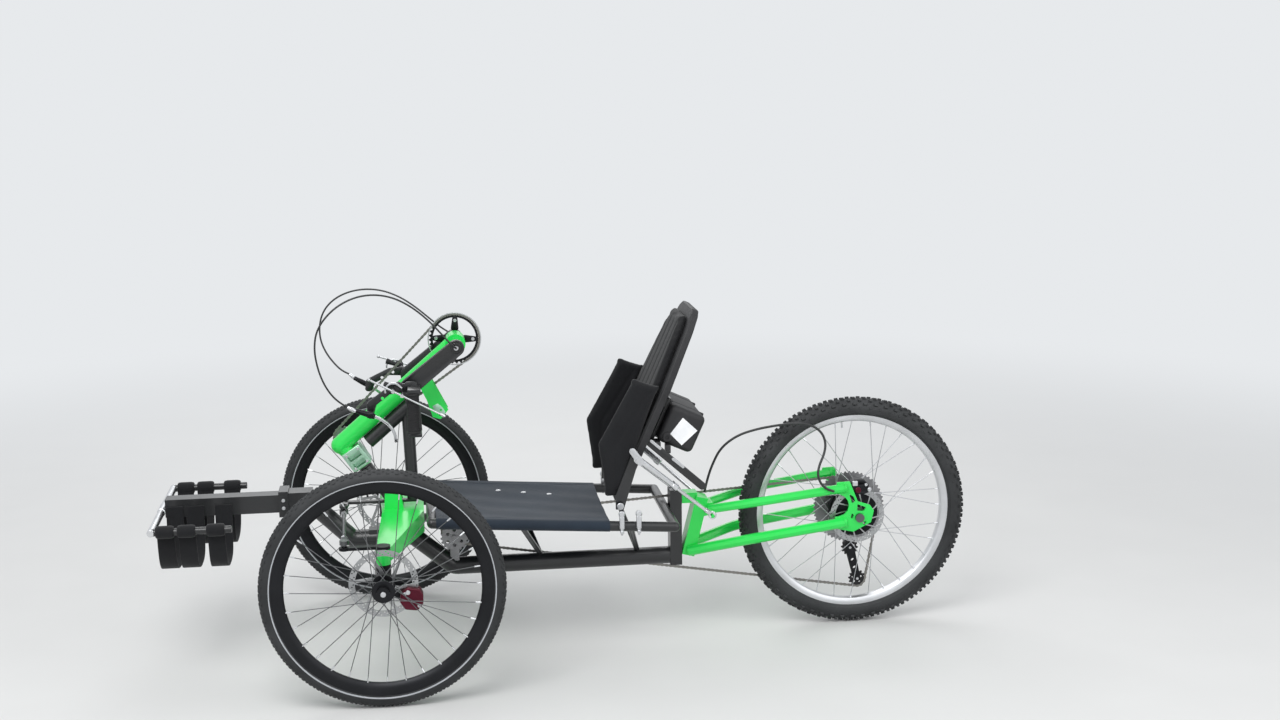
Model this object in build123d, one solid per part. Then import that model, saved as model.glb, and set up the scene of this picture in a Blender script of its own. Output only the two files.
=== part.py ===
from build123d import *
from math import acos, atan2, cos, degrees, hypot, radians, sin
import os

os.makedirs("parts", exist_ok=True)

# Electric handbike: two steered front wheels, one driven rear wheel, hand cranks on a mast.
# Lengths are millimetres. X points forward from the front axle line, Y to the rider's left, Z up from
# the ground. The finished pieces are moved along X so that the origin is under the middle of the whole.

# Wheels
wheelbase = 1357
track = 930
rim_edge_radius = 286
front_tyre_height = 32
front_tyre_width = 46
rear_tyre_height = 52
rear_tyre_width = 60
front_rim_depth = 33
front_rim_width = 28
rear_rim_depth = 20
rear_rim_width = 34
spoke_count = 32
spoke_diameter = 2.4
rotor_thickness = 2
rotor_band = 15
front_rotor_radius = 90
rear_rotor_radius = 80

# Front hubs turn on stub axles that stand out of the knuckles
stub_axle_diameter = 20
running_clearance = 0.35
front_hub_half_width = 38
front_hub_radius = 17
front_flange_offset = 26
front_flange_radius = 30
front_rotor_offset = 45
flange_thickness = 4

# Rear hub with its motor, cassette and dropouts
rear_axle_diameter = 12
motor_radius = 60
motor_inner_y = -22
motor_outer_y = 46
rear_flange_radius = 66
rear_rotor_y = 66
cassette_inner_y = -34
cog_pitch = 3.8
cog_thickness = 2
cog_radii = (102, 88, 76, 66, 58, 51, 45, 39, 34, 30, 26)
chain_cog = 1
pulley_radius = 20
guide_pulley_drop = 126
guide_pulley_back = 5
low_pulley_drop = 223
low_pulley_back = 28
dropout_inner_y = 86
dropout_thickness = 6

# Knuckles
kingpin_offset = 115
kingpin_diameter = 24
kingpin_eye_diameter = 40
steering_arm_length = 100
steering_arm_z = 400
arm_thickness = 8
bearing_gap = 2

# Steering head: the mast turns about this axis, whose top leans forward
head_foot_x = -12
head_foot_z = 440
head_lean = 34
head_tube_start = 22
head_tube_length = 84
head_tube_diameter = 44
steerer_diameter = 24
clamp_middle = 145
clamp_length = 62
clamp_width = 58
pitman_top_z = 432
pitman_reach = 110
pitman_ball_y = 42
tie_rod_z = 413
tie_rod_diameter = 10
ball_diameter = 16
ball_pin_diameter = 6
rod_eye_diameter = 24
rod_eye_height = 12
post_x = -84
post_diameter = 34

# Crank mast
elbow_x = 114
elbow_z = 595
crank_x = -215
crank_z = 876
mast_diameter = 50
crank_shell_diameter = 56
crank_shell_width = 68
crank_axle_diameter = 24
chainring_radius = 66
chain_thickness = 5
chain_height = 8
chain_gap = 0.3
mast_chain_y = -62
idler_radius = 25
crank_length = 167
crank_arm_y = 92
crank_arm_thickness = 14
crank_angle = -38.5
pin_end_y = 112
handle_thickness = 8
grip_y = 164
grip_diameter = 34
right_handle_turn = 10
cable_diameter = 5

# Frame
seat_half_width = 210
seat_rail_diameter = 28
hanger_diameter = 15
front_hanger_back = 240
front_hanger_rake = 68
rear_hanger_ahead = 125
rear_hanger_rake = 44
seat_front_x = -132
seat_front_z = 414
seat_rear_ahead = 31
seat_rear_z = 371
backbone_diameter = 50
front_backbone_z = 322
front_bend_x = 90
low_backbone_z = 228
rear_frame_length = 525
upright_depth = 34
upright_width = 50
upright_foot_z = 203
upright_top_z = 426
beam_front_x = 4
beam_rear_x = -112
beam_top_z = 412
beam_bottom_z = 350
ear_inner_y = 27
ear_thickness = 8
jackshaft_x = -195
jackshaft_z = 320
jackshaft_cog_radius = 30
sling_thickness = 4
sling_lift = 9.6
sling_margin = 10.5
sling_rear_ahead = 183

# Leg support
boom_width = 50
boom_z = 440
boom_front_x = 608
boom_rear_x = 228
socket_rear_x = 196
socket_front_x = 288
socket_floor = 26
socket_wall = 5
collar_length = 26
collar_wall = 6
foot_half_width = 235
foot_rail_diameter = 20
foot_z = 432
foot_rear_x = 398
strap_places = (572, 516, 440)
strap_width = 48
strap_depth = 128
strap_thickness = 5

# Rear frame
yoke_half_width = 30
yoke_depth = 36
stay_diameter = 30
upper_stay_diameter = 26
stay_rear_y = 92

# Backrest, its struts and the battery behind it
recline_ahead = 150
recline_z = 432
backrest_lean = 24.5
backrest_foot_back = 14
backrest_foot_lift = 15
backrest_length = 560
backrest_half_width = 172
backrest_thickness = 26
wing_thickness = 22
ear_plate_thickness = 8
pivot_pin_diameter = 12
strut_top_back = 49
strut_top_y = 202
strut_top_lift = 134
strut_foot_back = 93
strut_foot_y = 98
strut_foot_z = 368
rail_clamp_spacing = 50
strut_pin_diameter = 9
strut_tube_diameter = 20
strut_rod_diameter = 10
strut_tube_length = 160
strut_rod_start = 60
battery_half_width = 133
battery_low = 180
battery_high = 292
battery_front = 24
battery_rear = 132

# Worked out from the sizes above
half_track = track / 2
rear_x = -wheelbase
kingpin_y = half_track - kingpin_offset
upright_x = rear_x + rear_frame_length
seat_rear_x = upright_x + seat_rear_ahead
sling_rear_x = seat_rear_x + sling_rear_ahead
hanger_places = ((seat_front_x - front_hanger_back, seat_front_x - front_hanger_back - front_hanger_rake),
                 (seat_rear_x + rear_hanger_ahead, seat_rear_x + rear_hanger_ahead - rear_hanger_rake))
recline_x = seat_rear_x + recline_ahead
strut_top = (recline_x - strut_top_back, strut_top_y, recline_z + strut_top_lift)
strut_foot = (upright_x - strut_foot_back, strut_foot_y, strut_foot_z)
front_tyre_radius = rim_edge_radius + front_tyre_height
rear_tyre_radius = rim_edge_radius + rear_tyre_height
sling_half_width = seat_half_width - sling_margin
foremost_x = boom_front_x + foot_rail_diameter / 2
rearmost_x = rear_x - rear_tyre_radius
origin_shift = -(foremost_x + rearmost_x) / 2
hub_bore_radius = stub_axle_diameter / 2 + running_clearance
rear_bore_radius = rear_axle_diameter / 2 + running_clearance
rotor_y = half_track - front_rotor_offset
lean = radians(head_lean)
head_axis = Vector(sin(lean), 0, cos(lean))
head_across = Vector(cos(lean), 0, -sin(lean))
head_foot = Vector(head_foot_x, 0, head_foot_z)
elbow = Vector(elbow_x, 0, elbow_z)
crank_centre = Vector(crank_x, 0, crank_z)
mast_way = (crank_centre - elbow).normalized()
mast_below = Vector(-mast_way.Z, 0, mast_way.X)
back_lean = radians(backrest_lean)
back_up = Vector(-sin(back_lean), 0, cos(back_lean))
back_forward = Vector(cos(back_lean), 0, sin(back_lean))
back_foot = Vector(recline_x - backrest_foot_back, 0, recline_z + backrest_foot_lift)
seat_slope = (seat_front_z - seat_rear_z) / (seat_front_x - seat_rear_x)
sides = (("left", 1), ("right", -1))


def save(shape, node):
    """Moves a finished piece to the origin of the whole and writes it."""
    export_step(Pos(origin_shift, 0, 0) * shape, f"parts/{node}.step")


def rod(start, end, diameter):
    run = Vector(end) - Vector(start)
    lift = (Align.CENTER, Align.CENTER, Align.MIN)
    return Plane(origin=start, z_dir=run) * Cylinder(diameter / 2, run.length, align=lift)


def bar(start, end, width, height):
    """A straight bar whose width lies along Y."""
    run = Vector(end) - Vector(start)
    lift = (Align.CENTER, Align.CENTER, Align.MIN)
    return Plane(origin=start, x_dir=(0, 1, 0), z_dir=run) * Box(width, height, run.length, align=lift)


def bent_tube(points, bend_radius, diameter):
    path = FilletPolyline(*points, radius=bend_radius)
    section = Plane(origin=path @ 0, z_dir=path % 0) * Circle(diameter / 2)
    return sweep(section, path=path)


def side_plate(points, middle_y, thickness):
    """A flat plate upright in the XZ plane, from its outline's (x, z) points."""
    outline = Plane.XZ.offset(-middle_y) * Polygon(*points, align=None)
    return extrude(outline, amount=thickness / 2, both=True)


def block(x_range, y_range, z_range):
    sizes = [max(ends) - min(ends) for ends in (x_range, y_range, z_range)]
    middle = [sum(ends) / 2 for ends in (x_range, y_range, z_range)]
    return Pos(*middle) * Box(*sizes)


def at_wheel(shape, centre, side):
    """Places a piece whose axis is Z, outboard side up, on a wheel's centre."""
    return Pos(*centre) * Rot(X=-90 * side) * shape


def disc(outer_radius, low, high):
    lift = (Align.CENTER, Align.CENTER, Align.MIN)
    return Pos(0, 0, low) * Cylinder(outer_radius, high - low, align=lift)


def belt_face(circles):
    """The area inside a belt round circles (x, z, radius) given anticlockwise."""
    points = []
    for first, second in zip(circles, circles[1:] + circles[:1]):
        span = hypot(second[0] - first[0], second[1] - first[1])
        heading = atan2(second[1] - first[1], second[0] - first[0])
        normal = heading - acos((first[2] - second[2]) / span)
        for x, z, radius in (first, second):
            points.append((x + radius * cos(normal), z + radius * sin(normal)))
    face = Polygon(*points, align=None)
    for x, z, radius in circles:
        face += Pos(x, z) * Circle(radius)
    return face


def chain_loop(circles, middle_y):
    """A chain round cogs (x, z, radius) given anticlockwise, just clear of their rims."""
    outer = belt_face([(x, z, radius + chain_gap + chain_height) for x, z, radius in circles])
    inner = belt_face([(x, z, radius + chain_gap) for x, z, radius in circles])
    plane = Plane.XZ.offset(-middle_y)
    return extrude(plane * (outer - inner), amount=chain_thickness / 2, both=True)


# Tyres, rims and hubs, each about Z with the outboard side up
def tyre(outer_radius, width):
    section = Plane.XZ * (Pos(outer_radius - width / 2, 0) * Circle(width / 2))
    return revolve(section, axis=Axis.Z) - Cylinder(rim_edge_radius, width)


def rim(depth, width):
    inner = rim_edge_radius - depth
    bevel = depth * 0.4
    half = width / 2
    outline = [
        (rim_edge_radius, -half), (rim_edge_radius, half), (inner + bevel, half),
        (inner, half - bevel), (inner, bevel - half), (inner + bevel, -half),
    ]
    return revolve(Plane.XZ * Polygon(*outline, align=None), axis=Axis.Z)


def spokes(flange_radius, flanges, rim_inner_radius):
    """Crossed spokes from the two flanges, at their places along the axle, to the rim."""
    pieces = []
    for number in range(spoke_count):
        flange = flanges[number % 2]
        lead = 45 if number % 4 < 2 else -45
        rim_angle = radians(number * 360 / spoke_count)
        hub_angle = rim_angle + radians(lead)
        start = (flange_radius * cos(hub_angle), flange_radius * sin(hub_angle), flange)
        reach = rim_inner_radius + 4
        end = (reach * cos(rim_angle), reach * sin(rim_angle), flange * 0.12)
        pieces.append(rod(start, end, spoke_diameter))
    return pieces


def rotor(outer_radius, bore_radius):
    half = rotor_thickness / 2
    shape = disc(outer_radius, -half, half) - disc(outer_radius - rotor_band, -half, half)
    shape += disc(24, -half, half)
    for number in range(6):
        start = Vector(20, 0, 0).rotate(Axis.Z, number * 60)
        end = Vector(outer_radius - 10, 0, 0).rotate(Axis.Z, number * 60 + 24)
        run = end - start
        arm = Box(run.length, 7, rotor_thickness, align=(Align.MIN, Align.CENTER, Align.CENTER))
        shape += Pos(start.X, start.Y, 0) * Rot(Z=degrees(atan2(run.Y, run.X))) * arm
    return shape - Cylinder(bore_radius, 10)


def front_wheel():
    shape = disc(front_hub_radius, -front_hub_half_width, front_hub_half_width)
    shape += disc(22, -(front_rotor_offset - rotor_thickness / 2), -front_hub_half_width + 4)
    for middle in (-front_flange_offset, front_flange_offset):
        shape += disc(front_flange_radius, middle - flange_thickness / 2, middle + flange_thickness / 2)
    flanges = (-front_flange_offset, front_flange_offset)
    inner = rim_edge_radius - front_rim_depth
    shape = shape.fuse(rim(front_rim_depth, front_rim_width), *spokes(front_flange_radius - 3, flanges, inner))
    return shape - disc(hub_bore_radius, -2 * front_hub_half_width, 2 * front_hub_half_width)


def rear_wheel():
    shape = disc(motor_radius, motor_inner_y, motor_outer_y)
    shape += disc(24, motor_outer_y, rear_rotor_y - rotor_thickness / 2)
    shape += disc(20, cassette_inner_y + cog_thickness / 2, motor_inner_y)
    flanges = (motor_inner_y + flange_thickness / 2, motor_outer_y - flange_thickness / 2)
    for middle in flanges:
        shape += disc(rear_flange_radius, middle - flange_thickness / 2, middle + flange_thickness / 2)
    inner = rim_edge_radius - rear_rim_depth
    shape = shape.fuse(rim(rear_rim_depth, rear_rim_width), *spokes(rear_flange_radius - 3, flanges, inner))
    return shape - disc(rear_bore_radius, -dropout_inner_y, dropout_inner_y)


for name, side in sides:
    centre = (0, side * half_track, front_tyre_radius)
    save(at_wheel(tyre(front_tyre_radius, front_tyre_width), centre, side), f"front_tyre_{name}")
    save(at_wheel(front_wheel(), centre, side), f"front_wheel_{name}")
    brake_disc = Pos(0, 0, -front_rotor_offset) * rotor(front_rotor_radius, hub_bore_radius)
    save(at_wheel(brake_disc, centre, side), f"front_rotor_{name}")

rear_centre = (rear_x, 0, rear_tyre_radius)
save(at_wheel(tyre(rear_tyre_radius, rear_tyre_width), rear_centre, 1), "rear_tyre")
save(at_wheel(rear_wheel(), rear_centre, 1), "rear_wheel")
save(at_wheel(Pos(0, 0, rear_rotor_y) * rotor(rear_rotor_radius, rear_bore_radius), rear_centre, 1), "rear_rotor")


def cog_level(number):
    return cassette_inner_y - number * cog_pitch


def cassette():
    shape = None
    for number, radius in enumerate(cog_radii):
        level = cog_level(number)
        cog = disc(radius, level - cog_thickness / 2, level + cog_thickness / 2)
        shape = cog if shape is None else shape + cog
        shape += disc(radius * 0.55 + 5, level - cog_pitch, level)
    return shape - Cylinder(rear_bore_radius, 300)


save(at_wheel(cassette(), rear_centre, 1), "cassette")

rear_axle = rod((rear_x, -98, rear_tyre_radius), (rear_x, 98, rear_tyre_radius), rear_axle_diameter)
for name, side in sides:
    nut_start = (rear_x, side * (dropout_inner_y + dropout_thickness), rear_tyre_radius)
    nut_end = (rear_x, side * 101, rear_tyre_radius)
    rear_axle += rod(nut_start, nut_end, 26)
save(rear_axle, "rear_axle")


# Knuckles: kingpin, lower barrel, stub axle and steering arm
def knuckle(side):
    y = side * kingpin_y
    arm_low = steering_arm_z - arm_thickness
    shape = rod((0, y, front_tyre_radius - 30), (0, y, beam_bottom_z - bearing_gap), kingpin_eye_diameter)
    shape += rod((0, y, front_tyre_radius), (0, y, steering_arm_z), kingpin_diameter)
    axle_end = side * (half_track + front_hub_half_width + 8)
    shape += rod((0, y, front_tyre_radius), (0, axle_end, front_tyre_radius), stub_axle_diameter)
    shape += rod((0, y, front_tyre_radius), (0, side * (rotor_y - 5), front_tyre_radius), 36)
    shape += rod((0, y, arm_low), (0, y, steering_arm_z), kingpin_eye_diameter)
    shape += block((0, steering_arm_length), (y - 10, y + 10), (arm_low, steering_arm_z))
    eye_low = (steering_arm_length, y, arm_low)
    shape += rod(eye_low, (steering_arm_length, y, steering_arm_z), 28)
    return shape - rod(eye_low, (steering_arm_length, y, steering_arm_z), 16)


def axle_cap(side):
    low = side * (half_track + front_hub_half_width + 1)
    return rod((0, low, front_tyre_radius), (0, side * (half_track + 50), front_tyre_radius), 34)


def from_front_axle(outline):
    return [(x, front_tyre_radius + rise) for x, rise in outline]


caliper_outline = from_front_axle([(-44, -26), (-40, -56), (-58, -80), (-92, -80), (-106, -56), (-98, -18),
                                   (-84, -10)])
caliper_mount = from_front_axle([(0, 22), (0, -18), (-46, -56), (-70, -56), (-70, -18)])
for name, side in sides:
    y = side * rotor_y
    save(knuckle(side) + axle_cap(side), f"knuckle_{name}")
    body = side_plate(caliper_outline, y, 34)
    body -= rod((0, y - 4, front_tyre_radius), (0, y + 4, front_tyre_radius), 2 * front_rotor_radius + 8)
    mount = side_plate(caliper_mount, y - side * 21, 8)
    mount -= rod((0, 0, front_tyre_radius), (0, side * half_track, front_tyre_radius), 36)
    save(body + mount, f"brake_caliper_{name}")


# Front beam: a welded box that carries both kingpins and, between two ears, the steering head
def front_beam():
    half = 60
    shape = block((beam_rear_x, beam_front_x), (-half, half), (beam_bottom_z, beam_top_z))
    for side in (1, -1):
        inner = Plane.XZ.offset(-side * half) * Rectangle(
            beam_front_x - beam_rear_x, beam_top_z - beam_bottom_z)
        inner = Pos((beam_front_x + beam_rear_x) / 2, 0, (beam_top_z + beam_bottom_z) / 2) * inner
        outer = Pos(0, 0, 370) * (Plane.XZ.offset(-side * (kingpin_y - 12)) * Rectangle(36, 36))
        shape += loft([inner, outer])
        y = side * kingpin_y
        arm_low = steering_arm_z - arm_thickness
        shape += rod((0, y, beam_bottom_z), (0, y, arm_low - bearing_gap), kingpin_eye_diameter)
        ear = [(-56, beam_top_z), (-2, beam_top_z), (-6, 474), (-22, 486), (-46, 480)]
        shape += side_plate(ear, side * (ear_inner_y + ear_thickness / 2), ear_thickness)
    for side in (1, -1):
        y = side * kingpin_y
        shape -= rod((0, y, 300), (0, y, 500), kingpin_diameter + 2 * running_clearance)
    return shape


save(front_beam(), "front_beam")


def along_head(distance):
    return head_foot + head_axis * distance


head_tube = rod(along_head(head_tube_start), along_head(head_tube_start + head_tube_length), head_tube_diameter)
head_tube += block((-52, -6), (-ear_inner_y, ear_inner_y), (447, 476))
head_tube -= rod(along_head(-60), along_head(200), steerer_diameter + 2 * running_clearance)
save(head_tube, "head_tube")


# Frame: the backbone drops behind the front beam and ends at the upright that holds the rear frame
def backbone():
    points = [(206, 0, boom_z - 3), (front_bend_x, 0, front_backbone_z), (-80, 0, front_backbone_z),
              (-192, 0, low_backbone_z), (upright_x, 0, low_backbone_z)]
    return bent_tube(points, 30, backbone_diameter)


def main_frame():
    shape = backbone()
    half = upright_depth / 2
    shape += block((upright_x - half, upright_x + half), (-upright_width / 2, upright_width / 2),
                   (upright_foot_z, upright_top_z))
    outer = boom_width / 2 + running_clearance + socket_wall
    inner = boom_width / 2 + running_clearance
    socket = block((socket_rear_x, socket_front_x), (-outer, outer), (boom_z - outer, boom_z + outer))
    mouth_x = (socket_rear_x + socket_floor, socket_front_x)
    socket -= block(mouth_x, (-inner, inner), (boom_z - inner, boom_z + inner))
    rim_x = (socket_front_x - collar_length, socket_front_x)
    wide = outer + collar_wall
    collar = block(rim_x, (-wide, wide), (boom_z - wide, boom_z + wide))
    collar -= block(rim_x, (-outer, outer), (boom_z - outer, boom_z + outer))
    saddle = block((-72, 44), (-20, 20), (front_backbone_z, beam_bottom_z))
    return shape + socket + collar + saddle


save(main_frame(), "main_frame")


def seat_z(x):
    return seat_rear_z + (x - seat_rear_x) * seat_slope


def seat_rail_lines():
    """Start and end of the four tubes round the seat."""
    half = seat_half_width
    front, rear = (seat_front_x, seat_front_z), (seat_rear_x, seat_rear_z)
    corners = [(front[0], half, front[1]), (rear[0], half, rear[1]), (rear[0], -half, rear[1]),
               (front[0], -half, front[1])]
    return list(zip(corners, corners[1:] + corners[:1]))


# Seat frame: four tubes, front lugs to the beam and hanger bars down to the backbone
def seat_frame():
    shape = None
    for start, end in seat_rail_lines():
        tube = rod(start, end, seat_rail_diameter) + Pos(*start) * Sphere(seat_rail_diameter / 2)
        shape = tube if shape is None else shape + tube
    for side in (1, -1):
        y = side * seat_half_width
        shape += block((seat_front_x, beam_rear_x), (side * 84, side * 96), (388, beam_top_z - 2))
        for top_x, low_x in hanger_places:
            shape += rod((top_x, y, seat_z(top_x)), (low_x, 0, low_backbone_z + 22), hanger_diameter)
    half = upright_depth / 2
    upright = block((upright_x - half, upright_x + half), (-upright_width / 2, upright_width / 2),
                    (upright_foot_z, upright_top_z))
    return shape - backbone() - upright


save(seat_frame(), "seat_frame")

sling_front_x = seat_front_x - 11
sling_outline = [
    (sling_front_x, seat_z(sling_front_x) + sling_lift), (sling_rear_x, seat_z(sling_rear_x) + sling_lift),
    (sling_rear_x, seat_z(sling_rear_x) + sling_lift + sling_thickness),
    (sling_front_x, seat_z(sling_front_x) + sling_lift + sling_thickness),
]
save(side_plate(sling_outline, 0, 2 * sling_half_width), "seat_sling")


# Leg support: a boom that slides in the frame's socket, a foot frame on it and three straps a side
boom_half = boom_width / 2
boom_x_range = (boom_rear_x, boom_front_x - foot_rail_diameter / 2)
boom = block(boom_x_range, (-boom_half, boom_half), (boom_z - boom_half, boom_z + boom_half))
save(boom, "boom")

rail_ends = (foot_rear_x, boom_front_x)
foot_rails = rod((boom_front_x, -foot_half_width, foot_z), (boom_front_x, foot_half_width, foot_z),
                 foot_rail_diameter)
for side in (1, -1):
    y = side * foot_half_width
    foot_rails += rod((foot_rear_x, y, foot_z), (boom_front_x, y, foot_z), foot_rail_diameter)
    foot_rails += Pos(boom_front_x, y, foot_z) * Sphere(foot_rail_diameter / 2)
save(foot_rails, "foot_rails")


def strap(x, side):
    """A wide strap that hangs as a trough from the boom's side to the outer rail."""
    inner_y = boom_width / 2 + 0.3
    outer_y = foot_half_width - foot_rail_diameter / 2 - 0.3
    low_z = foot_z - strap_depth
    outside = [(inner_y, foot_z + 8), (inner_y + 8, low_z + 30), (inner_y + 40, low_z),
               (outer_y - 60, low_z), (outer_y - 14, low_z + 34), (outer_y, foot_z + 8)]
    t = strap_thickness
    inside = [(outer_y - t, foot_z + 8), (outer_y - 14 - t, low_z + 36), (outer_y - 62, low_z + t),
              (inner_y + 42, low_z + t), (inner_y + 8 + t, low_z + 32), (inner_y + t, foot_z + 8)]
    outline = Polygon(*[(side * y, z) for y, z in outside + inside], align=None)
    return extrude(Plane.YZ.offset(x) * outline, amount=strap_width / 2, both=True)


for name, side in sides:
    straps = [strap(x, side) for x in strap_places]
    save(Compound(children=straps), f"leg_straps_{name}")


def strut_pin():
    """The cross bar in the rear frame whose ends the struts stand on."""
    reach = strut_foot[1] + 12
    return rod((strut_foot[0], -reach, strut_foot[2]), (strut_foot[0], reach, strut_foot[2]), strut_pin_diameter)


# Rear frame: a yoke bolted to the upright, two stays a side, and the dropouts
def yoke():
    half = yoke_depth / 2
    low, high = (upright_x - 34, 0, 232), (upright_x - 76, 0, 402)
    shape = bar(low, high, 2 * yoke_half_width, yoke_depth)
    shape += block((upright_x - 18, upright_x - 63), (-22, 22), (386, 416))
    shape += strut_pin()
    shoe = [(upright_x - 58, 385), (upright_x - 108, 385), (upright_x - 108, 352), (upright_x - 48, 340)]
    shape += side_plate(shoe, 0, 2 * yoke_half_width)
    return shape - block((upright_x - upright_depth / 2, upright_x + upright_depth), (-60, 60), (150, 500))


save(yoke(), "rear_yoke")


def from_rear_axle(outline):
    return [(rear_x + x, rear_tyre_radius + rise) for x, rise in outline]


def stays(side):
    end_x = rear_x + 41
    lower = [(upright_x - 34, side * 32, 246), (upright_x - 191, side * 80, 284),
             (end_x, side * stay_rear_y, rear_tyre_radius - 12)]
    upper = [(upright_x - 94, side * 34, 368), (upright_x - 235, side * 80, 396),
             (end_x, side * stay_rear_y, rear_tyre_radius + 90)]
    shape = bent_tube(lower, 60, stay_diameter) + bent_tube(upper, 60, upper_stay_diameter)
    plate = from_rear_axle([(67, 107), (73, -30), (17, -42), (-35, -16), (-43, 18), (5, 46), (29, 108)])
    middle = side * (dropout_inner_y + dropout_thickness / 2)
    shape += side_plate(plate, middle, dropout_thickness)
    shape -= rod((rear_x, 0, rear_tyre_radius), (rear_x, side * half_track, rear_tyre_radius), rear_axle_diameter)
    inside_x = (upright_x + upright_depth, upright_x - 128)
    inside_yoke = block(inside_x, (-yoke_half_width, yoke_half_width), (150, 500))
    return shape - inside_yoke - strut_pin()


for name, side in sides:
    save(stays(side), f"rear_stays_{name}")

rear_caliper = side_plate(from_rear_axle([(-31, 108), (-31, 66), (27, 66), (27, 108)]), rear_rotor_y, 30)
rear_caliper -= side_plate(from_rear_axle([(-43, 92), (-43, -38), (57, -38), (57, 92)]), rear_rotor_y, 8)
rear_caliper += block((rear_x - 15, rear_x + 25), (rear_rotor_y + 12, dropout_inner_y),
                      (rear_tyre_radius + 80, rear_tyre_radius + 98))
save(rear_caliper, "rear_caliper")

# Jackshaft under the seat, and the long chain from it to the cassette
chain_y = cog_level(chain_cog)
low_pulley_x = rear_x - low_pulley_back
low_pulley_z = rear_tyre_radius - low_pulley_drop
guide_x = rear_x - guide_pulley_back
guide_z = rear_tyre_radius - guide_pulley_drop
jackshaft = rod((jackshaft_x, -46, jackshaft_z), (jackshaft_x, 40, jackshaft_z), 16)
jackshaft += rod((jackshaft_x, chain_y - 2, jackshaft_z), (jackshaft_x, chain_y + 2, jackshaft_z),
                 2 * jackshaft_cog_radius)
jackshaft += rod((jackshaft_x, 30, jackshaft_z), (jackshaft_x, 36, jackshaft_z), 76)
jackshaft += block((jackshaft_x - 14, jackshaft_x + 14), (-20, 20), (low_backbone_z, jackshaft_z))
jackshaft -= backbone()
save(jackshaft, "jackshaft")

main_cogs = [(low_pulley_x, low_pulley_z, pulley_radius), (jackshaft_x, jackshaft_z, jackshaft_cog_radius),
             (rear_x, rear_tyre_radius, cog_radii[chain_cog])]
save(chain_loop(main_cogs, chain_y), "main_chain")

derailleur = side_plate(from_rear_axle([(-35, -16), (1, -38), (-5, -62), (-35, -56)]), -83, 5.8)
for x, z in ((low_pulley_x, low_pulley_z), (guide_x, guide_z)):
    derailleur += rod((x, chain_y - 2, z), (x, chain_y + 2, z), 2 * pulley_radius)
    derailleur += rod((x, chain_y - 8, z), (x, chain_y + 8, z), 9)
for offset in (-7, 7):
    foot = (low_pulley_x, chain_y + offset, low_pulley_z - 7)
    derailleur += bar(foot, (guide_x, chain_y + offset, guide_z + 8), 3, 22)
derailleur += bar((guide_x - 2, chain_y - 8, guide_z), (rear_x - 17, -84, rear_tyre_radius - 46), 12, 24)
save(derailleur, "derailleur")


def cable_tube(points, diameter, least_radius):
    """A tube of straight runs and tangent arcs, each arc as large as its two runs allow."""
    corners = [Vector(*point) for point in points]
    radii = []
    for before, corner, after in zip(corners, corners[1:], corners[2:]):
        turn = radians((corner - before).get_angle(after - corner))
        shorter = min((corner - before).length, (after - corner).length)
        radii.append(max(least_radius, 0.45 * shorter / abs(sin(turn / 2) / cos(turn / 2))))
    path = FilletPolyline(*points, radius=radii)
    section = Plane(origin=path @ 0, z_dir=path % 0) * Circle(diameter / 2)
    print("cable radii", [round(radius) for radius in radii], "length", round(path.length))
    return sweep(section, path=path)


hub_cable_route = [
    (-917, 14, 414), (-924, 20, 452), (-938, 24, 496), (-962, 28, 546), (-1008, 34, 582), (-1062, 42, 600),
    (-1118, 48, 610), (-1172, 52, 615), (-1220, 56, 611), (-1252, 62, 588), (-1262, 70, 556),
    (-1254, 80, 526), (-1238, 92, 500), (-1230, 102, 474), (-1238, 106, 448), (-1256, 106.4, 430),
    (-1278, 106.9, 423),
]
save(cable_tube(hub_cable_route, cable_diameter + 2, 8), "hub_cable")


# Steering: clamp block, steerer and pitman plate turn with the mast
def steering_column():
    low = pitman_top_z - arm_thickness
    shape = rod(along_head(-10), along_head(clamp_middle), steerer_diameter)
    shape += block((post_x - 14, pitman_reach), (-9, 9), (low, pitman_top_z))
    shape += rod((head_foot_x - 8, 0, low), (head_foot_x - 8, 0, pitman_top_z), 28)
    shape += block((pitman_reach - 12, pitman_reach + 12), (-pitman_ball_y, pitman_ball_y), (low, pitman_top_z))
    for side in (1, -1):
        y = side * pitman_ball_y
        shape += rod((pitman_reach, y, low), (pitman_reach, y, pitman_top_z), 24)
        shape += rod((pitman_reach, y, tie_rod_z), (pitman_reach, y, low), ball_pin_diameter)
        shape += Plane(origin=(pitman_reach, y, tie_rod_z), z_dir=head_axis) * Sphere(ball_diameter / 2)
    return shape


def clamp():
    plane = Plane(origin=along_head(clamp_middle), x_dir=head_across, z_dir=head_axis)
    shape = plane * Box(clamp_width, clamp_width, clamp_length)
    slot = plane * (Pos(clamp_width / 2 - 6, 0, 0) * Box(14, 4, clamp_length + 2))
    return shape - slot - rod(along_head(0), along_head(clamp_middle), steerer_diameter)


save(steering_column() + clamp(), "steering_head")


def along_mast(distance, below=0):
    return elbow + mast_way * distance + mast_below * below


# Places along the mast from its elbow and below its axis
gusset_places = ((282, 6), (322, 6), (308, 60), (292, 126), (258, 132), (246, 112), (266, 66))
gusset_eye = (274, 104)
gusset_eye_diameter = 20


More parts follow.
